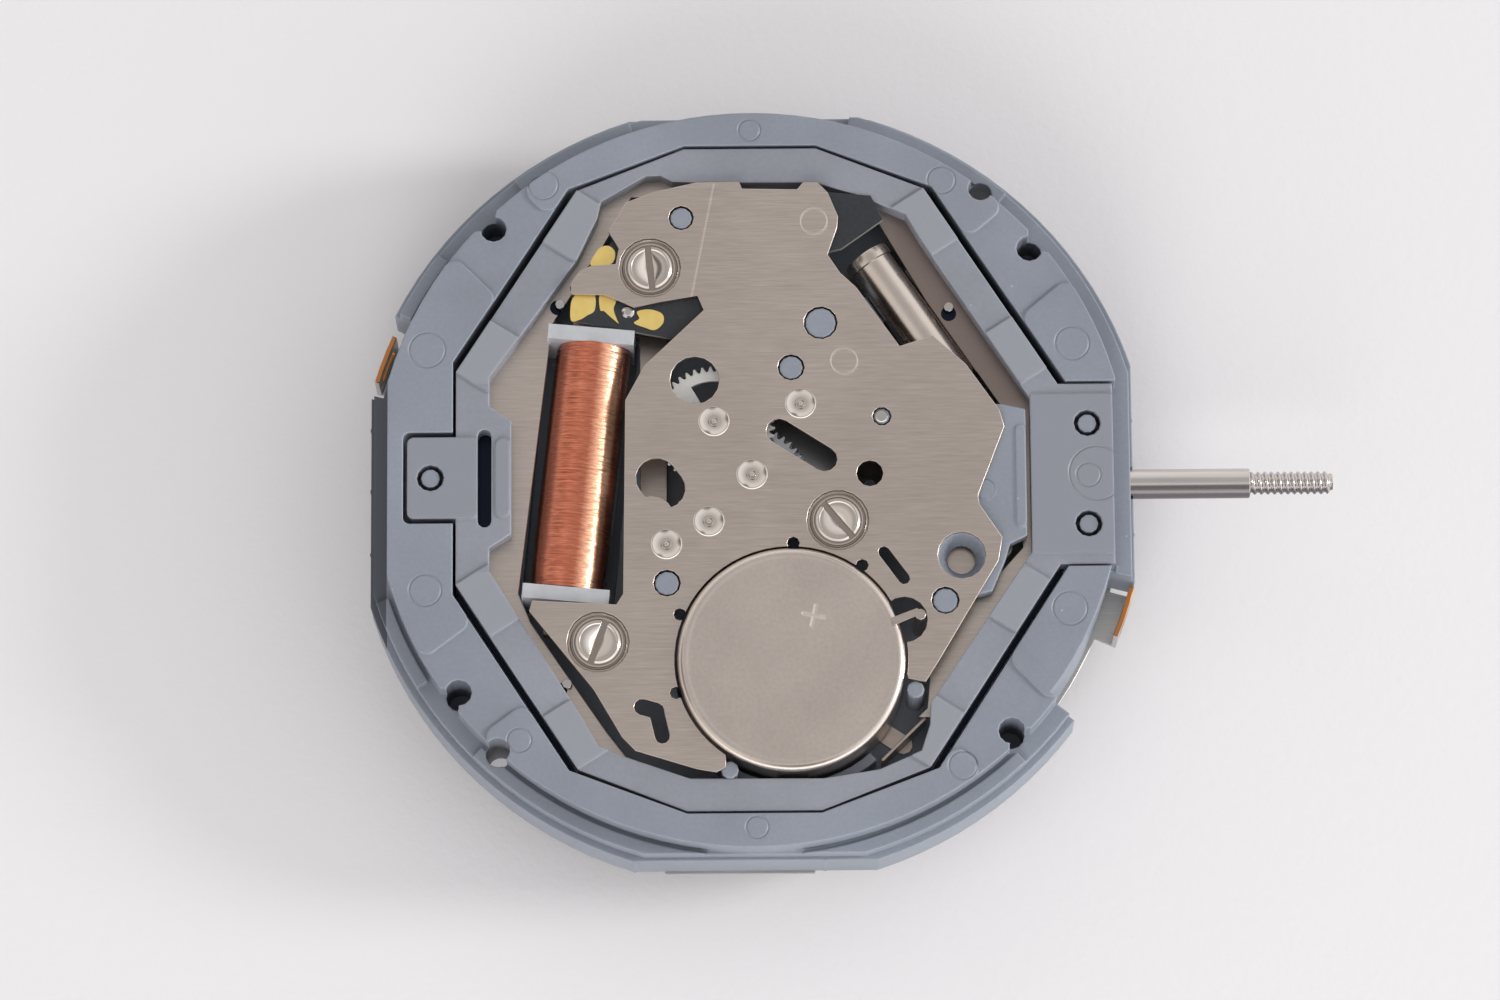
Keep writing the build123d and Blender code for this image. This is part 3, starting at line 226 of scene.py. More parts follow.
def card(centre, inner, outer, shade):
    # A dark card hung in the pale tent: full shade inside one angle, none beyond the other
    facing = vector_node(sky, "DOT_PRODUCT", bearing, Vector(centre).normalized())["Value"]
    return ramp(sky, facing, math.cos(math.radians(outer)), math.cos(math.radians(inner)), 1.0, shade)


# The tent is cooler in the east, and lighter low in the south
glow = blend_colour(sky, ramp(sky, aim[0], -0.8, 0.8, 0.0, 1.0), tent_west, tent_east)
low_south = times(sky, ramp(sky, aim[1], -0.8, -0.2, 1.2, 0.0), ramp(sky, aim[2], 0.30, 0.45, 1.0, 0.0))
bright = math_node(sky, "ADD", tent_light, low_south)
for one_card in tent_cards:
    bright = times(sky, bright, card(*one_card))
pale = add(sky, "ShaderNodeBackground", {"Color": glow, "Strength": bright})
sky.links.new(pale.outputs[0], sky_end.inputs["Surface"])
bpy.context.scene.world = ceiling


# The moulded casing: dial frame, module ring, main plate, crystal cradle, keyless cover and
# circuit support, injection moulded in blue-grey plastic. The two rings snap together, and the
# moulds leave soft corners, fine grain and faint round marks where the ejector pins pushed

casing_ink = ink(127, 133, 143)
corner_round = 0.08
# How much lighter the painted highlight makes the rounded corners
painted_corner_highlight = 0.35
facet_turn = math.radians(12)
corner_turn = math.radians(50)
weld_gap = 0.0005
grain_depth = 0.004
mark_depth = 0.03
mark_steepness = 22.0
light_reach = 0.35
level_share = 0.5
# Where the painted shade on the west ledge begins, and the colour of that shade
ledge_west = -10.98
ledge_shade_ink = ink(72, 76, 84)
# Each ejector mark of the module ring: east, north and radius
ring_marks = ((-9.75, 3.97, 0.54), (-9.79, -3.45, 0.48), (-0.01, 10.79, 0.33), (0.07, -10.73, 0.33),
              (-6.26, 9.11, 0.45), (5.79, 9.17, 0.42), (-6.98, -8.04, 0.36), (6.19, -8.91, 0.42),
              (9.66, 4.03, 0.51), (9.45, -4.15, 0.51))


def soften_group(name, sharp_turn):
    # Clears the carried normals, then shades smoothly wherever the surface turns less than this
    tree = bpy.data.node_groups.new(name, "GeometryNodeTree")
    for way in ("INPUT", "OUTPUT"):
        tree.interface.new_socket("Geometry", in_out=way, socket_type="NodeSocketGeometry")
    start = tree.nodes.new("NodeGroupInput").outputs[0]
    end = tree.nodes.new("NodeGroupOutput")
    angle = tree.nodes.new("GeometryNodeInputMeshEdgeAngle").outputs[0]
    cleared = add(tree, "GeometryNodeRemoveAttribute", {"Geometry": start, "Name": "custom_normal"})
    faces = add(tree, "GeometryNodeSetShadeSmooth", {"Geometry": cleared.outputs[0]})
    sharp = add(tree, "FunctionNodeCompare", {0: angle, 1: sharp_turn}, operation="GREATER_THAN")
    edges = add(tree, "GeometryNodeSetShadeSmooth", {"Geometry": faces.outputs[0], "Shade Smooth": False,
                                                     "Selection": sharp.outputs[0]}, domain="EDGE")
    feed(tree, end, {0: edges.outputs[0]})
    return tree


facet_shading = soften_group("facet_shading", facet_turn)
corner_shading = soften_group("corner_shading", corner_turn)


def dress(node, material, width, steps=1):
    # Gives a CAD piece its material, welds it and rounds its sharp corners by so many millimetres
    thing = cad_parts[node]
    thing.data.materials.clear()
    thing.data.materials.append(material)
    weld = thing.modifiers.new("weld", "WELD")
    weld.merge_threshold = weld_gap * mm
    thing.modifiers.new("facets", "NODES").node_group = facet_shading
    if width:
        round_off = thing.modifiers.new("corners", "BEVEL")
        round_off.width = width * mm
        round_off.segments = steps
        round_off.limit_method = "ANGLE"
        round_off.angle_limit = corner_turn
        round_off.use_clamp_overlap = False
        thing.modifiers.new("shading", "NODES").node_group = corner_shading
    weigh = thing.modifiers.new("faces", "WEIGHTED_NORMAL")
    weigh.keep_sharp = True


def new_group(name, inputs, outputs):
    tree = bpy.data.node_groups.new(name, "ShaderNodeTree")
    for way, sockets in (("INPUT", inputs), ("OUTPUT", outputs)):
        for label, kind in sockets:
            tree.interface.new_socket(label, in_out=way, socket_type="NodeSocket" + kind)
    return tree, tree.nodes.new("NodeGroupInput").outputs, tree.nodes.new("NodeGroupOutput")


def use_group(tree, group, inputs):
    return add(tree, "ShaderNodeGroup", inputs, node_tree=group).outputs


def face_normal(tree):
    return tree.nodes.new("ShaderNodeNewGeometry").outputs["True Normal"]


def toned(tree, colour, tone):
    # The colour made lighter or darker
    return add(tree, "ShaderNodeVectorMath", {0: colour, "Scale": tone}, operation="SCALE").outputs[0]


def plan_of(tree, place):
    # The place seen from above, in millimetres
    return vector_node(tree, "MULTIPLY", place, (1 / mm, 1 / mm, 0))[0]


def moulded_skin_group():
    # Flow marks, fine spark-eroded grain, a few specks of dust and soft corners on moulded plastic, with a
    # painted highlight that lightens the rounded corners
    tree, given, end = new_group(
        "moulded_skin", (("Place", "Vector"), ("Colour", "Color"), ("Painted Corner Highlight", "Float")),
        (("Base Color", "Color"), ("Roughness", "Float"), ("Bump Height", "Float"), ("Normal", "Vector")))
    cloud = noise(tree, given["Place"], 260.0, 3.0)
    grain = noise(tree, given["Place"], 9000.0, 2.0)
    rounded = add(tree, "ShaderNodeBevel", {"Radius": corner_round * mm}, samples=8).outputs[0]
    turned_off = vector_node(tree, "DOT_PRODUCT", rounded, face_normal(tree))["Value"]
    corner = ramp(tree, turned_off, 0.80, 0.99, 1.0, 0.0)
    dust = add(tree, "ShaderNodeTexVoronoi", {"Vector": given["Place"], "Scale": 1500.0}).outputs
    near = math_node(tree, "LESS_THAN", dust["Distance"], 0.045)
    rare = math_node(tree, "GREATER_THAN", split(tree, dust["Color"])[0], 0.80)
    speck = times(tree, times(tree, near, rare), 0.30)
    tone = times(tree, ramp(tree, cloud, 0.3, 0.7, 0.90, 1.08), ramp(tree, grain, 0.0, 1.0, 0.91, 1.09))
    # Painted highlight: the colour is made lighter on the rounded corners
    tone = times(tree, tone, math_node(tree, "ADD", 1.0, times(tree, corner, given["Painted Corner Highlight"])))
    mottled = toned(tree, given["Colour"], tone)
    feed(tree, end, {"Base Color": blend_colour(tree, speck, mottled, ink(214, 216, 218)),
                     "Roughness": ramp(tree, grain, 0.0, 1.0, 0.36, 0.56),
                     "Bump Height": grain, "Normal": rounded})
    return tree


def ejector_mark_group():
    # The faint round step that an ejector pin leaves: a shallow groove round a flat
    tree, given, end = new_group(
        "ejector_mark", (("Place", "Vector"), ("Centre", "Vector"), ("Radius", "Float")),
        (("Bump Height", "Float"),))
    span = vector_node(tree, "DISTANCE", plan_of(tree, given["Place"]), given["Centre"])["Value"]
    off = math_node(tree, "ABSOLUTE", math_node(tree, "SUBTRACT", span, given["Radius"]))
    groove = math_node(tree, "SUBTRACT", 1.0, times(tree, off, mark_steepness), clamp=True)
    feed(tree, end, {"Bump Height": times(tree, groove, -1.0)})
    return tree


def west_ledge_group():
    # One on the faces that look up and lie west of the limit, nothing anywhere else: the mask for the painted
    # shade on the west ledge
    tree, given, end = new_group("west_ledge", (("Place", "Vector"), ("West Limit", "Float")),
                                 (("Mask", "Float"),))
    looks_up = math_node(tree, "GREATER_THAN", split(tree, face_normal(tree))[2], level_share)
    west = math_node(tree, "LESS_THAN", split(tree, given["Place"])[0], given["West Limit"])
    feed(tree, end, {"Mask": times(tree, looks_up, west)})
    return tree


moulded_skin = moulded_skin_group()
ejector_mark = ejector_mark_group()
west_ledge = west_ledge_group()


def marks_height(tree, place, marks):
    # The bump height of all these round marks together
    depth = 0.0
    for x, y, radius in marks:
        mark = use_group(tree, ejector_mark, {"Place": place, "Centre": (x, y, 0), "Radius": radius})
        depth = math_node(tree, "ADD", mark["Bump Height"], depth)
    return depth


def moulded(name, colour, marks=(), tint=None, depth_of_light=0.10):
    made, tree, skin = new_material(name)
    place = place_of(tree)
    face = use_group(tree, moulded_skin, {"Place": place, "Colour": colour, "Painted Corner Highlight": painted_corner_highlight})
    base = face["Base Color"]
    if tint:
        base = tint(tree, place, base)
    normal = bump(tree, face["Bump Height"], grain_depth, 0.5, under=face["Normal"])
    if marks:
        normal = bump(tree, marks_height(tree, place, marks), mark_depth, under=normal)
    feed(tree, skin, {"Base Color": base, "Roughness": face["Roughness"], "Normal": normal,
                      "Subsurface Weight": depth_of_light, "Subsurface Radius": (1.0, 1.1, 1.3),
                      "Subsurface Scale": light_reach * mm, "IOR": 1.48})
    return made


def painted_ledge_shade(tree, place, base):
    # The narrow ledge at the west edge reads dark from above, so its upward faces are tinted dark with
    # painted shade
    ledge = use_group(tree, west_ledge, {"Place": place, "West Limit": ledge_west * mm})
    return blend_colour(tree, ledge["Mask"], base, ledge_shade_ink)


casing_plastic = moulded("casing_plastic", casing_ink, (), painted_ledge_shade)
ring_plastic = moulded("module_ring_plastic", casing_ink, ring_marks, painted_ledge_shade)
dress("dial_frame", casing_plastic, 0)
dress("module_ring", ring_plastic, 0)
for node in ("main_plate", "keyless_cover", "circuit_support", "crystal_cradle"):
    dress(node, casing_plastic, 0.025)


# The retaining ring: a springy moulding in natural grey, paler and clearer than the casing,
# snapped in over the module sheet. Its raised pads show a little paler still, its lugs darker

lug_marks = ((10.33, 0.0, 0.83), (10.08, -0.05, 0.36))
raised_level = 3.09
lug_half = 2.9
lug_ink = ink(130, 133, 142)
pad_ink = ink(138, 141, 149)


def pale_pads(tree, place, base):
    _, north, height = split(tree, place)
    raised = math_node(tree, "GREATER_THAN", height, raised_level * mm)
    pad = math_node(tree, "GREATER_THAN", math_node(tree, "ABSOLUTE", north), lug_half * mm)
    return blend_colour(tree, raised, base, blend_colour(tree, pad, lug_ink, pad_ink))


dress("retaining_ring", moulded("retaining_ring_plastic", ink(134, 137, 146), lug_marks, pale_pads, 0.22), 0)


# Sheet metal: the brushed nickel train bridge, the module sheet under the retaining ring, the
# holding plate whose snap tabs show a coppery cut edge, and the plain plated pieces inside, all
# stamped from strip and brushed along it before plating

brush_depth = 0.003
fold_depth = 0.012
fold_steepness = 16.0
bridge_fold = (Vector((-1.11, 9.08, 0)), Vector((-1.83, 5.42, 0)))
bridge_circles = ((1.95, 7.86, 0.40), (2.82, 3.49, 0.40))
cut_edge_ink = ink(196, 132, 78)
tab_low = 0.4
# The module sheet: where it runs out under the rings, the slot over it, and its rivets
rim_east_share, rim_north_share, rim_reach = 0.847, 0.532, 9.2
slot_west, slot_half_width, slot_half_length = 8.1, 0.38, 1.9
sheet_rivet_places = ((5.98, 5.18), (-5.84, 5.46), (-5.80, -6.38))
rivet_reach = 0.23
under_ring_ink = ink(34, 38, 50)
north_east_ink = ink(136, 122, 116)


def brushed_group():
    # Fine straight brushing along X, over broader lines and a cloudy tone
    tree, given, end = new_group("brushed_face", (("Place", "Vector"), ("Colour", "Color")),
                                 (("Base Color", "Color"), ("Roughness", "Float"), ("Bump Height", "Float")))
    fine = noise(tree, given["Place"], 1.0, 3.0, (1300.0, 30000.0, 30000.0))
    broad = noise(tree, given["Place"], 1.0, 2.0, (500.0, 13000.0, 13000.0))
    cloud = noise(tree, given["Place"], 420.0, 2.0)
    lines = math_node(tree, "ADD", times(tree, fine, 0.7), times(tree, broad, 0.3))
    tone = times(tree, ramp(tree, lines, 0.3, 0.7, 0.86, 1.10), ramp(tree, cloud, 0.0, 1.0, 0.94, 1.06))
    feed(tree, end, {"Base Color": toned(tree, given["Colour"], tone), "Bump Height": lines,
                     "Roughness": ramp(tree, broad, 0.0, 1.0, 0.30, 0.42)})
    return tree


def fold_line_group():
    # A straight fold between two places, which shows as a narrow ridge
    tree, given, end = new_group(
        "fold_line", (("Place", "Vector"), ("Middle", "Vector"), ("Across", "Vector"), ("Along", "Vector"),
                      ("Half Length", "Float")),
        (("Bump Height", "Float"),))
    off = vector_node(tree, "SUBTRACT", plan_of(tree, given["Place"]), given["Middle"])[0]
    side, run = (math_node(tree, "ABSOLUTE", vector_node(tree, "DOT_PRODUCT", off, given[way])["Value"])
                 for way in ("Across", "Along"))
    ends = math_node(tree, "LESS_THAN", run, given["Half Length"])
    near = math_node(tree, "SUBTRACT", 1.0, times(tree, side, fold_steepness), clamp=True)
    feed(tree, end, {"Bump Height": times(tree, near, ends)})
    return tree


brushed_face = brushed_group()
fold_line = fold_line_group()


def under_rings(tree, place, base):
    # Little light reaches the sheet outside the retaining ring, in the slot of its west lug and
    # round the three rivets, so it is tinted dark there, and less so in its north-east strip
    plan = plan_of(tree, place)
    east, north, _ = split(tree, plan)
    off_east, off_north = (math_node(tree, "ABSOLUTE", way) for way in (east, north))
    reach = math_node(tree, "ADD", times(tree, off_east, rim_east_share),
                      times(tree, off_north, rim_north_share))
    dark = math_node(tree, "GREATER_THAN", reach, rim_reach)
    off_slot = math_node(tree, "ABSOLUTE", math_node(tree, "ADD", east, slot_west))
    slot = times(tree, math_node(tree, "LESS_THAN", off_slot, slot_half_width),
                 math_node(tree, "LESS_THAN", off_north, slot_half_length))
    dark = math_node(tree, "MAXIMUM", dark, slot)
    for x, y in sheet_rivet_places:
        span = vector_node(tree, "DISTANCE", plan, (x, y, 0))["Value"]
        dark = math_node(tree, "MAXIMUM", dark, math_node(tree, "LESS_THAN", span, rivet_reach))
    strip = times(tree, ramp(tree, east, 2.0, 4.5, 0.0, 0.9), ramp(tree, north, 0.5, 2.5, 0.0, 1.0))
    base = blend_colour(tree, strip, base, north_east_ink)
    return blend_colour(tree, dark, base, under_ring_ink)


def coppery_edge(tree, place, base):
    # The plating is off where the snap tabs were cut, and the upward edge shows the metal under it
    looks_up = math_node(tree, "GREATER_THAN", split(tree, face_normal(tree))[2], level_share)
    high = math_node(tree, "GREATER_THAN", split(tree, place)[2], tab_low * mm)
    return blend_colour(tree, times(tree, looks_up, high), base, cut_edge_ink)


def brushed(name, colour, tint=None, fold=None, circles=()):
    made, tree, skin = new_material(name)
    place = place_of(tree)
    face = use_group(tree, brushed_face, {"Place": place, "Colour": colour})
    base = face["Base Color"]
    if tint:
        base = tint(tree, place, base)
    normal = bump(tree, face["Bump Height"], brush_depth, 0.55)
    depth = marks_height(tree, place, circles)
    if fold:
        start, end = fold
        along = (end - start).normalized()
        line = use_group(tree, fold_line, {"Place": place, "Middle": (start + end) / 2, "Along": along,
                                           "Across": (along.y, -along.x, 0),
                                           "Half Length": (end - start).length / 2})
        depth = math_node(tree, "ADD", line["Bump Height"], depth)
    if fold or circles:
        normal = bump(tree, depth, fold_depth, under=normal)
    feed(tree, skin, {"Base Color": base, "Roughness": face["Roughness"], "Normal": normal,
                      "Metallic": 1.0, "Anisotropic": 0.35})
    return made


bridge_nickel = brushed("bridge_nickel", ink(196, 184, 175), None, bridge_fold, bridge_circles)
module_nickel = brushed("module_nickel", ink(202, 191, 182), under_rings)
tab_steel = brushed("tab_steel", ink(200, 198, 194), coppery_edge)
sheet_nickel = brushed("sheet_nickel", ink(190, 178, 170))
dress("train_bridge", bridge_nickel, 0.018, 2)
dress("module_sheet", module_nickel, 0.02)
dress("holding_plate", tab_steel, 0.02)
for node in ("stator", "coil_core", "yoke", "setting_lever", "cell_clip", "cell_spring"):
    dress(node, sheet_nickel, 0.012)


# Turned steel: the sheet's rivets, the arbors with their leaves, the setting wheel and the
# clutch, turned from bar, hobbed where they have teeth, hardened and polished

turning_depth = 0.004
drawing_depth = 0.002
far_reach = 100.0


def tool_rings_group():
    # The fine round marks of the turning tool: how far a place is from the nearest of its axes
    tree, given, end = new_group(
        "tool_rings", (("Place", "Vector"), ("Centre", "Vector"), ("So Far", "Float")),
        (("Reach", "Float"),))
    span = vector_node(tree, "DISTANCE", plan_of(tree, given["Place"]), given["Centre"])["Value"]
    feed(tree, end, {"Reach": math_node(tree, "MINIMUM", span, given["So Far"])})
    return tree


def turned_face_group():
    # Tool marks that darken and raise the face as they run past
    tree, given, end = new_group(
        "turned_face", (("Place", "Vector"), ("Colour", "Color"), ("Scale", "Float"), ("Detail", "Float")),
        (("Base Color", "Color"), ("Bump Height", "Float")))
    marks = noise(tree, given["Place"], given["Scale"], given["Detail"])
    tone = ramp(tree, marks, 0.0, 1.0, 0.86, 1.06)
    feed(tree, end, {"Base Color": toned(tree, given["Colour"], tone), "Bump Height": marks})
    return tree


tool_rings = tool_rings_group()
turned_face = turned_face_group()


def turned(name, colour, rough, axes=(), tint=None):
    # Rings round the given axes, or fine bands across an upright arbor where none is given
    made, tree, skin = new_material(name)
    place = place_of(tree)
    if axes:
        reach = far_reach
        for x, y in axes:
            nearest = use_group(tree, tool_rings, {"Place": place, "Centre": (x, y, 0), "So Far": reach})
            reach = nearest["Reach"]
        marks_place = add(tree, "ShaderNodeCombineXYZ", {0: reach}).outputs[0]
        scale, detail, depth = 26.0, 3.0, turning_depth
    else:
        marks_place = vector_node(tree, "MULTIPLY", place, (3000.0, 3000.0, 30000.0))[0]
        scale, detail, depth = 1.0, 2.0, drawing_depth
    face = use_group(tree, turned_face, {"Place": marks_place, "Colour": colour, "Scale": scale,
                                         "Detail": detail})
    base = face["Base Color"]
    if tint:
        base = tint(tree, place, base)
    feed(tree, skin, {"Base Color": base, "Normal": bump(tree, face["Bump Height"], depth, 0.4),
                      "Metallic": 1.0, "Roughness": rough})
    return made


bright_steel = turned("bright_steel", ink(206, 202, 197), 0.14)
for node in ("sheet_rivets", "rotor_pinion", "fifth_pinion", "fourth_pinion", "third_pinion",
             "cannon_pinion", "minute_pinion", "setting_wheel", "clutch_wheel"):
    dress(node, bright_steel, 0.008)


# Wheels: the third wheel moulded in pale plastic, the plated metal wheels with hobbed teeth, and
# the rotor's dark sintered magnet. Most of them are pressed on an arbor

wheel_steel = turned("wheel_steel", ink(176, 178, 182), 0.28)
dress("third_wheel", moulded("third_wheel_plastic", ink(228, 228, 224), depth_of_light=0.15), 0.01)
dress("rotor_magnet", turned("magnet_dark", ink(96, 94, 96), 0.42), 0.01)
for node in ("fourth_wheel", "fifth_wheel", "centre_wheel", "minute_wheel", "hour_wheel"):
    dress(node, wheel_steel, 0.01)


# The circuit: a black glass-cloth board lying on its plastic support, and the black chip bonded
# under it. The board's cut edges show the paler cloth

upright_share = 0.35


def board_skin():
    made, tree, skin = new_material("board_black")
    place = place_of(tree)
    weave = add(tree, "ShaderNodeTexVoronoi", {"Vector": place, "Scale": 5200.0}).outputs["Distance"]
    base = blend_colour(tree, noise(tree, place, 9000.0), ink(20, 23, 27), ink(42, 45, 50))
    slope = math_node(tree, "ABSOLUTE", split(tree, face_normal(tree))[2])
    upright = math_node(tree, "LESS_THAN", slope, upright_share)
    base = blend_colour(tree, times(tree, upright, 0.6), base, ink(150, 148, 138))
    feed(tree, skin, {"Base Color": base, "Normal": bump(tree, weave, 0.006, 0.5), "Roughness": 0.5})
    return made


board_black = board_skin()
for node in ("circuit_board", "ic_chip"):
    dress(node, board_black, 0.012)


# The board's gold pads: copper leaf etched to these outlines on the board and gold plated, so
# thin that the pads stand up by a fiftieth of a millimetre

pad_low = 3.10
pad_high = 3.12
pad_steps = 6
pad_outlines = (((-5.42, 4.87), (-5.40, 5.46), (-5.17, 5.69), (-4.72, 5.68), (-4.70, 5.18), (-4.93, 5.01),
                 (-5.17, 4.87)),
                ((-4.54, 5.68), (-4.18, 5.60), (-4.06, 5.45), (-4.13, 5.20), (-4.03, 4.87), (-3.99, 4.76),
                 (-4.23, 4.96), (-4.42, 5.14), (-4.54, 5.19)),
                ((-3.42, 5.12), (-3.03, 5.18), (-2.67, 5.04), (-2.64, 4.76), (-2.89, 4.54), (-3.20, 4.62),
                 (-3.52, 4.76), (-3.36, 4.90)),
                ((-4.82, 6.58), (-4.58, 7.08), (-4.28, 7.18), (-4.08, 6.96), (-4.21, 6.61)))


def gold_skin():
    made, tree, skin = new_material("pad_gold")
    ripple = noise(tree, place_of(tree), 2600.0)
    feed(tree, skin, {"Base Color": blend_colour(tree, ripple, ink(240, 204, 110), ink(252, 228, 150)),
                      "Normal": bump(tree, ripple, 0.02, 0.5), "Metallic": 0.8, "Roughness": 0.33})
    return made


def eased_outline(corners):
    # A smooth closed line through the corners
    count = len(corners)
    line = []
    for i in range(count):
        before, here, after, beyond = (Vector(corners[(i + k) % count]) for k in (-1, 0, 1, 2))
        for step in range(pad_steps):
            s = step / pad_steps
            line.append(here + (after - before) * 0.5 * s
                        + (before - 2.5 * here + 2 * after - 0.5 * beyond) * s ** 2
                        + (-0.5 * before + 1.5 * here - 1.5 * after + 0.5 * beyond) * s ** 3)
    return line


def closed_mesh(name, points, faces):
    # Joins points that lie on each other and turns every face outwards
    mesh = mesh_of(name, points, faces)
    edit = bmesh.new()
    edit.from_mesh(mesh)
    bmesh.ops.remove_doubles(edit, verts=edit.verts, dist=1e-7)
    bmesh.ops.recalc_face_normals(edit, faces=edit.faces)
    edit.to_mesh(mesh)
    edit.free()
    return mesh


def leaf(name, outlines, low, high):
    points = []
    faces = []
    for corners in outlines:
        line = eased_outline(corners)
        count = len(line)
        under = len(points)
        over = under + count
        points += [(p.x, p.y, z) for z in (low, high) for p in line]
        faces.append(tuple(under + i for i in range(count)))
        faces.append(tuple(over + i for i in reversed(range(count))))
        faces += [(under + i, over + i, over + (i + 1) % count, under + (i + 1) % count)
                  for i in range(count)]
    return put_in_scene(name, closed_mesh(name, points, faces))


gold_leaf = leaf("gold_leaf", pad_outlines, pad_low, pad_high)
gold_leaf.data.materials.append(gold_skin())
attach(gold_leaf, "movement")
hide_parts("circuit_pads")


# Clear mouldings: the coil's bobbin with its two flanges, and the ring that keeps the cell's two
# halves apart, moulded in clear plastic that is a little hazy

def clear_skin():
    made, tree, skin = new_material("clear_moulding")
    haze = noise(tree, place_of(tree), 3000.0)
    feed(tree, skin, {"Base Color": blend_colour(tree, haze, ink(208, 211, 218), ink(238, 240, 244)),
                      "Roughness": ramp(tree, haze, 0.0, 1.0, 0.10, 0.28),
                      "Transmission Weight": 0.45, "IOR": 1.46})
    return made


clear_moulding = clear_skin()
for node in ("coil_bobbin", "battery_gasket"):
    dress(node, clear_moulding, 0.03, 2)


# The coil: enamelled copper wire, thinner than a hair, wound on the bobbin. Each wrap stands for
# a few turns and bulges a little unevenly. A painted highlight runs in a band along the upper east
# side, and both sides are darkened with painted shade

coil_top = Vector((-4.72, 4.20, 2.05))
coil_lean = math.radians(6.39)
coil_length = 7.60
coil_r = 1.16
coil_turns = 190
rings_a_turn = 3
coil_sides = 72
wire_rise = 0.010
wrap_bulge = 0.012
winding_inset = 0.02
end_taper_share = 0.035
copper_dark, copper_light, copper_patch = ink(164, 70, 44), ink(226, 140, 100), ink(190, 92, 62)
painted_highlight_ink, east_shade_ink, west_shade_ink = ink(255, 206, 168), ink(58, 22, 18), ink(74, 32, 34)
# Shares of the way round the coil, where the painted highlight and the painted shade on the two sides come
# and go
highlight_from_shares, highlight_to_shares = (0.10, 0.12), (0.225, 0.17)
east_shade_shares, west_shade_shares = (0.06, 0.11), (0.41, 0.49)


def coil_skin():
    # The winding's own map runs once round the coil, from its east side over the top, and along it
    made, tree, skin = new_material("coil_copper")
    span = add(tree, "ShaderNodeUVMap", uv_map="winding").outputs[0]
    around = split(tree, span)[0]
    strands = noise(tree, span, 1.0, 3.0, (5.0, 330.0, 1.0))
    ragged = noise(tree, span, 1.0, 2.0, (26.0, 120.0, 1.0))
    patches = noise(tree, span, 1.0, 2.0, (3.0, 9.0, 1.0))
    mixed = math_node(tree, "ADD", times(tree, strands, 0.65), times(tree, ragged, 0.35))
    tone = ramp(tree, mixed, 0.35, 0.65, 0.0, 1.0)
    # burnished holds the painted highlight: a light band along the upper east side, where the lamp's
    # highlight falls
    burnished = times(tree, ramp(tree, around, *highlight_to_shares, 0.0, 1.0),
                      ramp(tree, around, *highlight_from_shares, 0.0, 1.0))
    burnished = times(tree, burnished, ramp(tree, ragged, 0.35, 0.6, 0.45, 0.95))
    base = blend_colour(tree, tone, copper_dark, copper_light)
    base = blend_colour(tree, times(tree, patches, 0.35), base, copper_patch)
    base = blend_colour(tree, burnished, base, painted_highlight_ink)
    # Painted shade darkens the east and the west side of the coil
    base = blend_colour(tree, ramp(tree, around, *east_shade_shares, 0.85, 0.0), base, east_shade_ink)
    base = blend_colour(tree, ramp(tree, around, *west_shade_shares, 0.0, 0.75), base, west_shade_ink)
    feed(tree, skin, {"Base Color": base, "Normal": bump(tree, strands, 0.012, 0.8), "Metallic": 0.9,
                      "Roughness": 0.27, "Coat Weight": 1.0, "Coat Roughness": 0.16})
    return made


def band_faces(rows, sides):
    # The four-cornered faces between rings of points that follow one another
    return [(row * sides + side, row * sides + (side + 1) % sides,
             (row + 1) * sides + (side + 1) % sides, (row + 1) * sides + side)
            for row in range(rows) for side in range(sides)]


def wound_coil():
    wander = random.Random(7)
    along = Vector((-math.sin(coil_lean), -math.cos(coil_lean), 0))
    across = Vector((math.cos(coil_lean), -math.sin(coil_lean), 0))
    rise = Vector((0, 0, 1))
    rows = coil_turns * rings_a_turn
    bulge = [wander.uniform(-wrap_bulge, wrap_bulge) for _ in range(coil_turns + 1)]
    lay = [wander.uniform(0, math.tau) for _ in range(coil_turns + 1)]
    points = []
    span = []
    for row in range(rows + 1):
        part = row / rows
        wrap = row // rings_a_turn
        wire = wire_rise * math.sin(math.pi * (row % rings_a_turn) / rings_a_turn)
        ease = 1 - end_taper_share * (2 * part - 1) ** 8
        for side in range(coil_sides):
            angle = math.tau * side / coil_sides
            uneven = bulge[wrap] * math.sin(2 * angle + lay[wrap])
            radius = (coil_r - winding_inset) * ease + wire + uneven
            outward = across * math.cos(angle) + rise * math.sin(angle)
            points.append(coil_top + along * coil_length * part + outward * radius)
            span.append((side / coil_sides, part))
    mesh = mesh_of("coil_wire", points, band_faces(rows, coil_sides))
    layer = mesh.uv_layers.new(name="winding")
    for loop in mesh.loops:
        layer.data[loop.index].uv = span[loop.vertex_index]
    for face in mesh.polygons:
        face.use_smooth = True
    return put_in_scene("coil_wire", mesh)


coil = wound_coil()
coil.data.materials.append(coil_skin())
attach(coil, "movement")
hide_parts("coil_winding")


# The button cell: a drawn nickel-plated can with a rolled rim and a faint ring pressed in its
# face, with a plain plus sign. The can is the upper part, and the smaller cap lies under it

cell_place = Vector((1.13, -5.71, 0))
cell_r = 3.40
cell_low = 1.40
cell_top = 3.55
can_corner = 0.22
face_sink = 0.012
cap_r = 3.02
cap_recess = 0.36
cell_ink = ink(213, 202, 193)
grit_depth = 0.003
plus_place = (1.81, -4.41)
plus_lean = math.radians(12)
plus_arm = 0.38
plus_depth = 0.018
plus_side_steepness = 14.0
plus_end_steepness = 20.0
lathe_turn = math.radians(24)


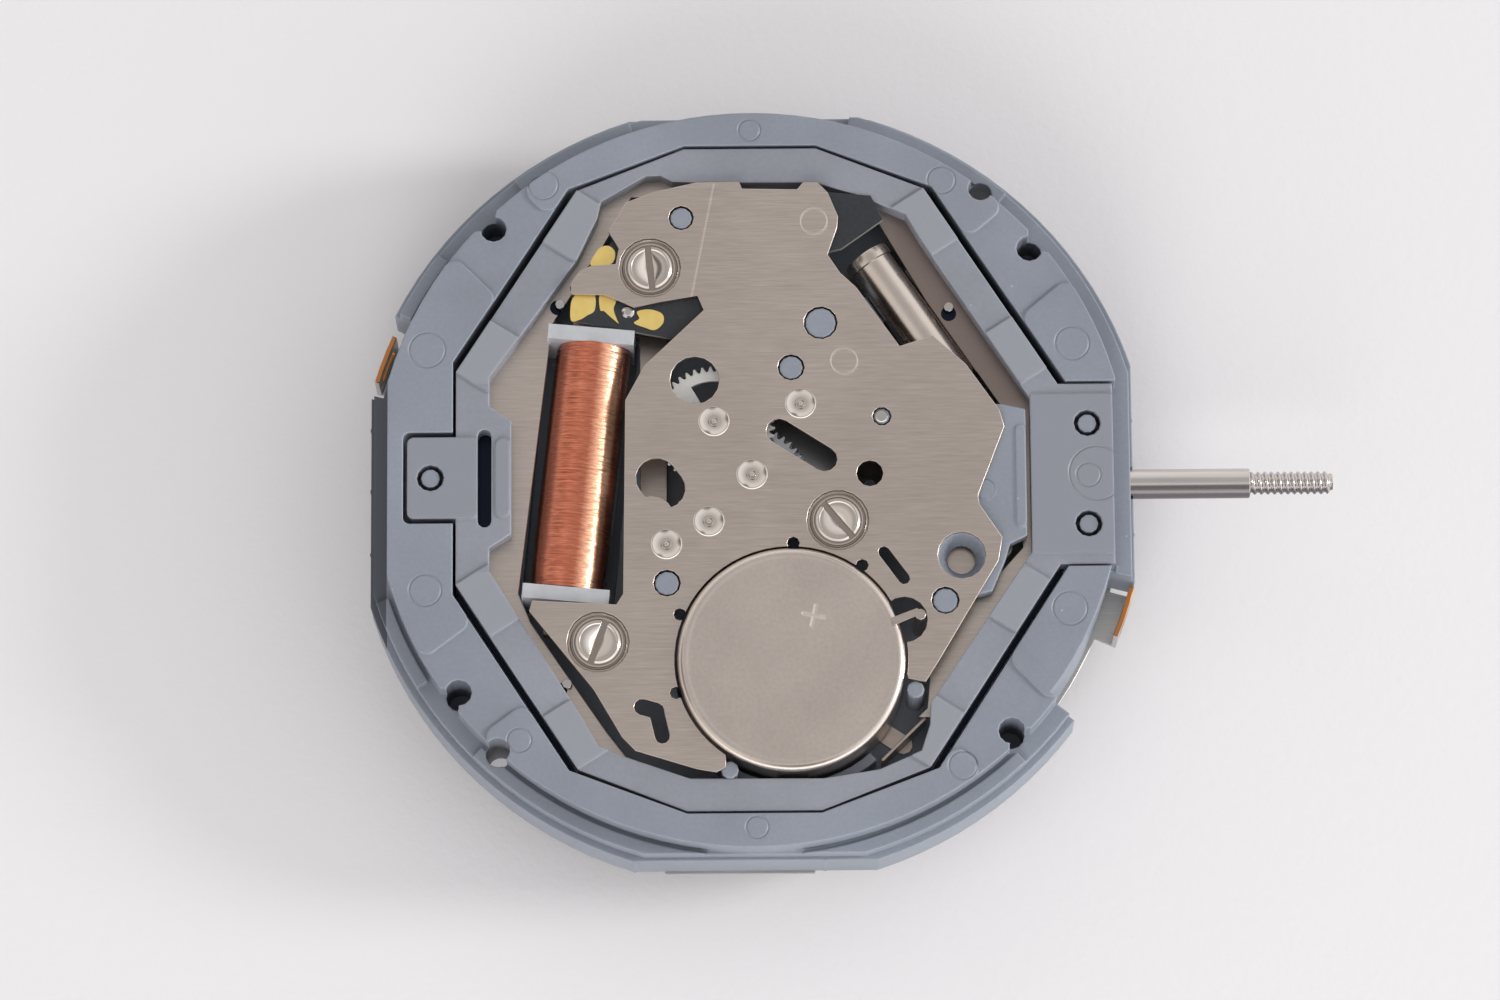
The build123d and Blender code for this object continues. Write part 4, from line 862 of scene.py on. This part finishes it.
def turn_up(name, profile, sides, place):
    # A turned shape: radius and height pairs swept round an upright axis
    points = []
    for radius, height in profile:
        for side in range(sides):
            angle = math.tau * side / sides
            points.append(Vector((radius * math.cos(angle), radius * math.sin(angle), height)) + place)
    mesh = closed_mesh(name, points, band_faces(len(profile) - 1, sides))
    for face in mesh.polygons:
        face.use_smooth = True
    mesh.set_sharp_from_angle(angle=lathe_turn)
    return put_in_scene(name, mesh)


def plus_sign(tree, place):
    # One inside the two arms of the sign, easing to nothing at their sides and ends
    spot = add(tree, "ShaderNodeMapping", {"Vector": place, "Scale": (1 / mm, 1 / mm, 0),
                                           "Location": (-plus_place[0], -plus_place[1], 0)})
    leaned = add(tree, "ShaderNodeVectorRotate", {"Vector": spot.outputs[0], "Angle": plus_lean})
    axes = split(tree, leaned.outputs[0])
    reach = [math_node(tree, "ABSOLUTE", axes[i]) for i in (0, 1)]
    arms = 0.0
    for long_way, short_way in ((0, 1), (1, 0)):
        off_line = times(tree, reach[short_way], plus_side_steepness)
        inside = math_node(tree, "SUBTRACT", 1.0, off_line, clamp=True)
        left = math_node(tree, "SUBTRACT", plus_arm, reach[long_way])
        ends = math_node(tree, "MULTIPLY", left, plus_end_steepness, clamp=True)
        arms = math_node(tree, "MAXIMUM", times(tree, inside, ends), arms)
    return arms


def cell_skin():
    made, tree, skin = new_material("cell_nickel")
    place = place_of(tree)
    grit = noise(tree, place, 9000.0, 3.0)
    cloud = noise(tree, place, 500.0, 2.0)
    mixed = math_node(tree, "ADD", times(tree, grit, 0.6), times(tree, cloud, 0.4))
    base = toned(tree, cell_ink[:3], ramp(tree, mixed, 0.3, 0.7, 0.90, 1.06))
    gritty = bump(tree, grit, grit_depth, 0.5)
    stamped = bump(tree, plus_sign(tree, place), plus_depth, under=gritty, invert=True)
    feed(tree, skin, {"Base Color": base, "Normal": stamped, "Metallic": 1.0,
                      "Roughness": ramp(tree, cloud, 0.0, 1.0, 0.24, 0.34)})
    return made


def corner_bow(steps):
    # The shares of a corner's radius, across and up, from its level side to its upright one
    angles = [math.pi / 2 * i / steps for i in range(1, steps + 1)]
    return [(1 - math.sin(angle), 1 - math.cos(angle)) for angle in angles]


can_profile = [(0.0, cell_top - face_sink), (2.0, cell_top - face_sink), (2.90, cell_top - face_sink),
               (3.02, cell_top - 0.02), (3.10, cell_top - face_sink), (3.16, cell_top)]
can_profile += [(cell_r - can_corner * across, cell_top - can_corner * down)
                for across, down in corner_bow(8)]
can_profile += [(cell_r, cell_low + can_corner)]
can_profile += [(cell_r - can_corner * across, cell_low + can_corner * up)
                for up, across in corner_bow(6)]
can_profile += [(cap_r, cell_low), (cap_r - 0.01, cell_low + cap_recess - 0.01), (0.0, cell_low + cap_recess)]
can = turn_up("cell_can", can_profile, 128, cell_place)
cell_nickel = cell_skin()
can.data.materials.append(cell_nickel)
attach(can, "movement")
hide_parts("battery_can")
dress("battery_cap", cell_nickel, 0.05, 2)


# The board's rivet: a domed steel pin beside the gold pads, pushed through the board and upset
# over it so that it holds the board down on its support

rivet_place = Vector((-3.70, 5.11, pad_low))
rivet_profile = [(0.0, 0.045), (0.08, 0.04), (0.15, 0.024), (0.19, 0.0), (0.19, -0.03), (0.0, -0.03)]
board_rivet = turn_up("board_rivet", rivet_profile, 32, rivet_place)
board_rivet.data.materials.append(bright_steel)
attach(board_rivet, "movement")


# The guide pin: a steel pin pressed into a moulded post of the main plate, level with the
# bridge, which it keeps in its place

pin_place = Vector((3.90, 1.77, 3.27))
pin_profile = [(0.0, 0.022), (0.165, 0.022), (0.19, 0.0), (0.19, -0.02), (0.0, -0.02)]
guide_pin = turn_up("guide_pin", pin_profile, 48, pin_place)
guide_pin.data.materials.append(bright_steel)
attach(guide_pin, "movement")


# The quartz crystal: a tuning fork sealed in a drawn silver can with a domed end and a flange,
# which lies on its side in its cradle

crystal_place = Vector((3.52, 7.05, 2.08))
crystal_lean = math.radians(-56.0)
quarter_turn = math.radians(90)
crystal_profile = [(0.0, 5.0), (0.30, 4.99), (0.50, 4.95), (0.62, 4.86), (0.685, 4.72), (0.69, 4.60),
                   (0.69, 0.40), (0.70, 0.36), (0.745, 0.33), (0.75, 0.28), (0.75, 0.06), (0.73, 0.0),
                   (0.0, 0.0)]


def crystal_skin():
    made, tree, skin = new_material("crystal_silver")
    place = place_of(tree)
    spun = noise(tree, place, 5000.0, 3.0)
    cloud = noise(tree, place, 700.0)
    feed(tree, skin, {"Base Color": blend_colour(tree, cloud, ink(198, 186, 175), ink(212, 202, 192)),
                      "Roughness": ramp(tree, spun, 0.0, 1.0, 0.20, 0.32),
                      "Normal": bump(tree, spun, 0.003, 0.4), "Metallic": 1.0})
    return made


crystal = turn_up("crystal_can", crystal_profile, 64, Vector((0, 0, 0)))
crystal.data.transform(Matrix.Translation(crystal_place * mm) @ Matrix.Rotation(crystal_lean, 4, "Z")
                       @ Matrix.Rotation(quarter_turn, 4, "Y"))
crystal.data.materials.append(crystal_skin())
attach(crystal, "movement")
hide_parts("quartz_crystal")


# The bridge screws: turned steel screws that hold the bridge down on the main plate. Each head
# has a dished washer face and a boss that a narrow slot cuts into two cheeks

# Each screw: east, north and how far its slot was turned
screw_places = ((-3.03, 6.43, 96.0), (-4.62, -5.12, 70.0), (2.56, -1.44, 130.0))
screw_seat = bridge_top - 0.08
shank_r = 0.25
screw_tip = -1.89
slot_half = 0.10
# Below this height the screw heads get painted shade, in the colour given next
recess_shade_level = 3.238
recess_shade_ink = ink(168, 156, 148)
seat_profile = [(0.0, 0.015), (0.70, 0.015), (0.715, 0.055), (0.76, 0.055), (0.78, 0.004), (0.81, 0.004),
                (0.86, 0.076), (0.875, 0.076), (0.88, 0.07), (0.88, 0.0), (shank_r, 0.0),
                (shank_r, screw_tip), (0.0, screw_tip)]
cheek_profile = [(0.0, 0.112), (0.54, 0.112), (0.57, 0.140), (0.60, 0.140), (0.66, 0.090), (0.66, 0.005),
                 (0.0, 0.005)]


def screw_head(name, x, y, slot_turn):
    seat_place = Vector((0, 0, screw_seat))
    pieces = [turn_up(name, seat_profile, 96, seat_place)]
    for side in (1, -1):
        cheek = turn_up(name + "_half", cheek_profile, 96, seat_place)
        edit = bmesh.new()
        edit.from_mesh(cheek.data)
        bmesh.ops.bisect_plane(edit, geom=edit.verts[:] + edit.edges[:] + edit.faces[:],
                               plane_co=(0, side * slot_half * mm, 0), plane_no=(0, side, 0),
                               clear_inner=True)
        bmesh.ops.holes_fill(edit, edges=[e for e in edit.edges if e.is_boundary])
        edit.to_mesh(cheek.data)
        edit.free()
        pieces.append(cheek)
    place = Matrix.Translation((x * mm, y * mm, 0)) @ Matrix.Rotation(math.radians(slot_turn), 4, "Z")
    for piece in pieces:
        piece.data.transform(place)
    return pieces


def join(name, pieces):
    # One mesh from several that ride together
    edit = bmesh.new()
    for piece in pieces:
        edit.from_mesh(piece.data)
        bpy.data.objects.remove(piece)
    mesh = bpy.data.meshes.new(name)
    edit.to_mesh(mesh)
    edit.free()
    return put_in_scene(name, mesh)


def painted_recess_shade(tree, place, base):
    # Painted shade: everything below this level, the slot's floor and the bottom of the dished washer face,
    # is tinted darker
    low = math_node(tree, "LESS_THAN", split(tree, place)[2], recess_shade_level * mm)
    return blend_colour(tree, low, base, recess_shade_ink)


screw_axes = [(x, y) for x, y, _ in screw_places]
screw_steel = turned("screw_steel", ink(208, 199, 191), 0.22, screw_axes, painted_recess_shade)
heads = [piece for i, spot in enumerate(screw_places) for piece in screw_head(f"screw_{i}", *spot)]
screws = join("screw_heads", heads)
screws.data.materials.append(screw_steel)
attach(screws, "movement")
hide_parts("bridge_screws")


# The pivot sinks: dishes cut and burnished in the bridge round five pivot holes. The pivot's
# rounded end shows in the middle of each

pivot_places = ((0.0, 0.0), (-1.13, 1.65), (-1.30, -1.44), (-2.57, -2.13), (1.47, 2.18))
dish_profile = [(0.47, 0.002), (0.445, 0.024), (0.42, 0.026), (0.21, -0.052), (0.17, -0.052), (0.155, -0.016),
                (0.115, -0.014), (0.09, -0.045), (0.07, -0.045), (0.058, -0.010), (0.03, -0.002), (0.0, 0.0)]
dishes = join("pivot_dishes", [turn_up(f"dish_{i}", dish_profile, 64, Vector((x, y, bridge_top)))
                               for i, (x, y) in enumerate(pivot_places)])
dishes.data.materials.append(turned("burnished_dish", ink(216, 208, 200), 0.12, pivot_places))
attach(dishes, "movement")


# The winding stem: a ground steel rod, squared where it drives the clutch, with a groove that
# the setting lever holds and a thread cut on its outer end for the crown

stem_z = 1.65
stem_r = 0.45
stem_end = 17.50
thread_start = 15.00
thread_pitch = 0.20
thread_r = 0.315
thread_half = 0.035
thread_sides = 48
rings_a_pitch = 12
tip_share = 0.72
tip_rings = 10
square_side = 0.50
square_length = 1.70
square_middle = 5.70
square_corner = 0.04
groove_r = 0.30
groove_end = 7.10
shoulder_start = 6.56
stem_ink = ink(216, 210, 206)
south_shade_ink = ink(90, 84, 90)
stem_chamfer = 0.03
rod_steps = 12
rod_step = (thread_start - stem_chamfer - groove_end) / rod_steps
stem_profile = [(0.0, shoulder_start), (stem_r - stem_chamfer, shoulder_start),
                (stem_r, shoulder_start + 0.02), (stem_r, shoulder_start + 0.08),
                (groove_r, shoulder_start + 0.12), (groove_r, groove_end - 0.04)]
stem_profile += [(stem_r, groove_end + rod_step * i) for i in range(rod_steps)]
stem_profile += [(stem_r, thread_start - stem_chamfer), (stem_r - stem_chamfer, thread_start),
                 (groove_r, thread_start + 0.02), (0.0, thread_start + stem_chamfer)]


def cut_thread():
    # Rings of points along the rod, whose radius follows the thread's winding and shrinks at the tip
    rows = int((stem_end - thread_start) / thread_pitch * rings_a_pitch)
    points = []
    for row in range(rows + 1):
        along = thread_start + (stem_end - thread_start) * row / rows
        ease = min(1.0, (rows - row) / tip_rings)
        for side in range(thread_sides):
            wave = math.cos(math.tau * (along / thread_pitch - side / thread_sides))
            radius = (thread_r + thread_half * wave) * (tip_share + (1 - tip_share) * ease)
            angle = math.tau * side / thread_sides
            points.append((radius * math.cos(angle), radius * math.sin(angle), along))
    tip = tuple(rows * thread_sides + side for side in range(thread_sides))
    mesh = mesh_of("stem_thread", points, band_faces(rows, thread_sides) + [tip])
    for face in mesh.polygons:
        face.use_smooth = len(face.vertices) == 4
    return put_in_scene("stem_thread", mesh)


def squared_end():
    square = bpy.data.meshes.new("stem_square")
    edit = bmesh.new()
    bmesh.ops.create_cube(edit, size=1.0, matrix=Matrix.Translation((0, 0, square_middle * mm))
                          @ Matrix.Diagonal((square_side * mm, square_side * mm, square_length * mm, 1)))
    bmesh.ops.bevel(edit, geom=edit.edges[:], offset=square_corner * mm, segments=2, affect="EDGES")
    edit.to_mesh(square)
    edit.free()
    return put_in_scene("stem_square", square)


def stem_skin():
    # Fine grinding marks round the rod, and painted shade that tints its south side darker
    made, tree, skin = new_material("stem_steel")
    place = place_of(tree)
    ground = noise(tree, place, 1.0, 3.0, (26000.0, 900.0, 900.0))
    drawn = noise(tree, place, 1.0, 2.0, (300.0, 9000.0, 9000.0))
    base = toned(tree, stem_ink[:3], ramp(tree, drawn, 0.0, 1.0, 0.80, 1.05))
    # Painted shade on the faces that look south
    low = ramp(tree, split(tree, face_normal(tree))[1], -0.62, -0.5, 0.85, 0.0)
    feed(tree, skin, {"Base Color": blend_colour(tree, low, base, south_shade_ink),
                      "Normal": bump(tree, ground, 0.002, 0.4), "Metallic": 1.0, "Roughness": 0.20})
    return made


rod = turn_up("stem_bar", stem_profile, 64, Vector((0, 0, 0)))
stem = join("stem_bar", [rod, cut_thread(), squared_end()])
stem.data.transform(Matrix.Translation((0, 0, stem_z * mm)) @ Matrix.Rotation(quarter_turn, 4, "Y"))
stem.data.materials.append(stem_skin())
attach(stem, "stem_body")
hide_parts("stem")
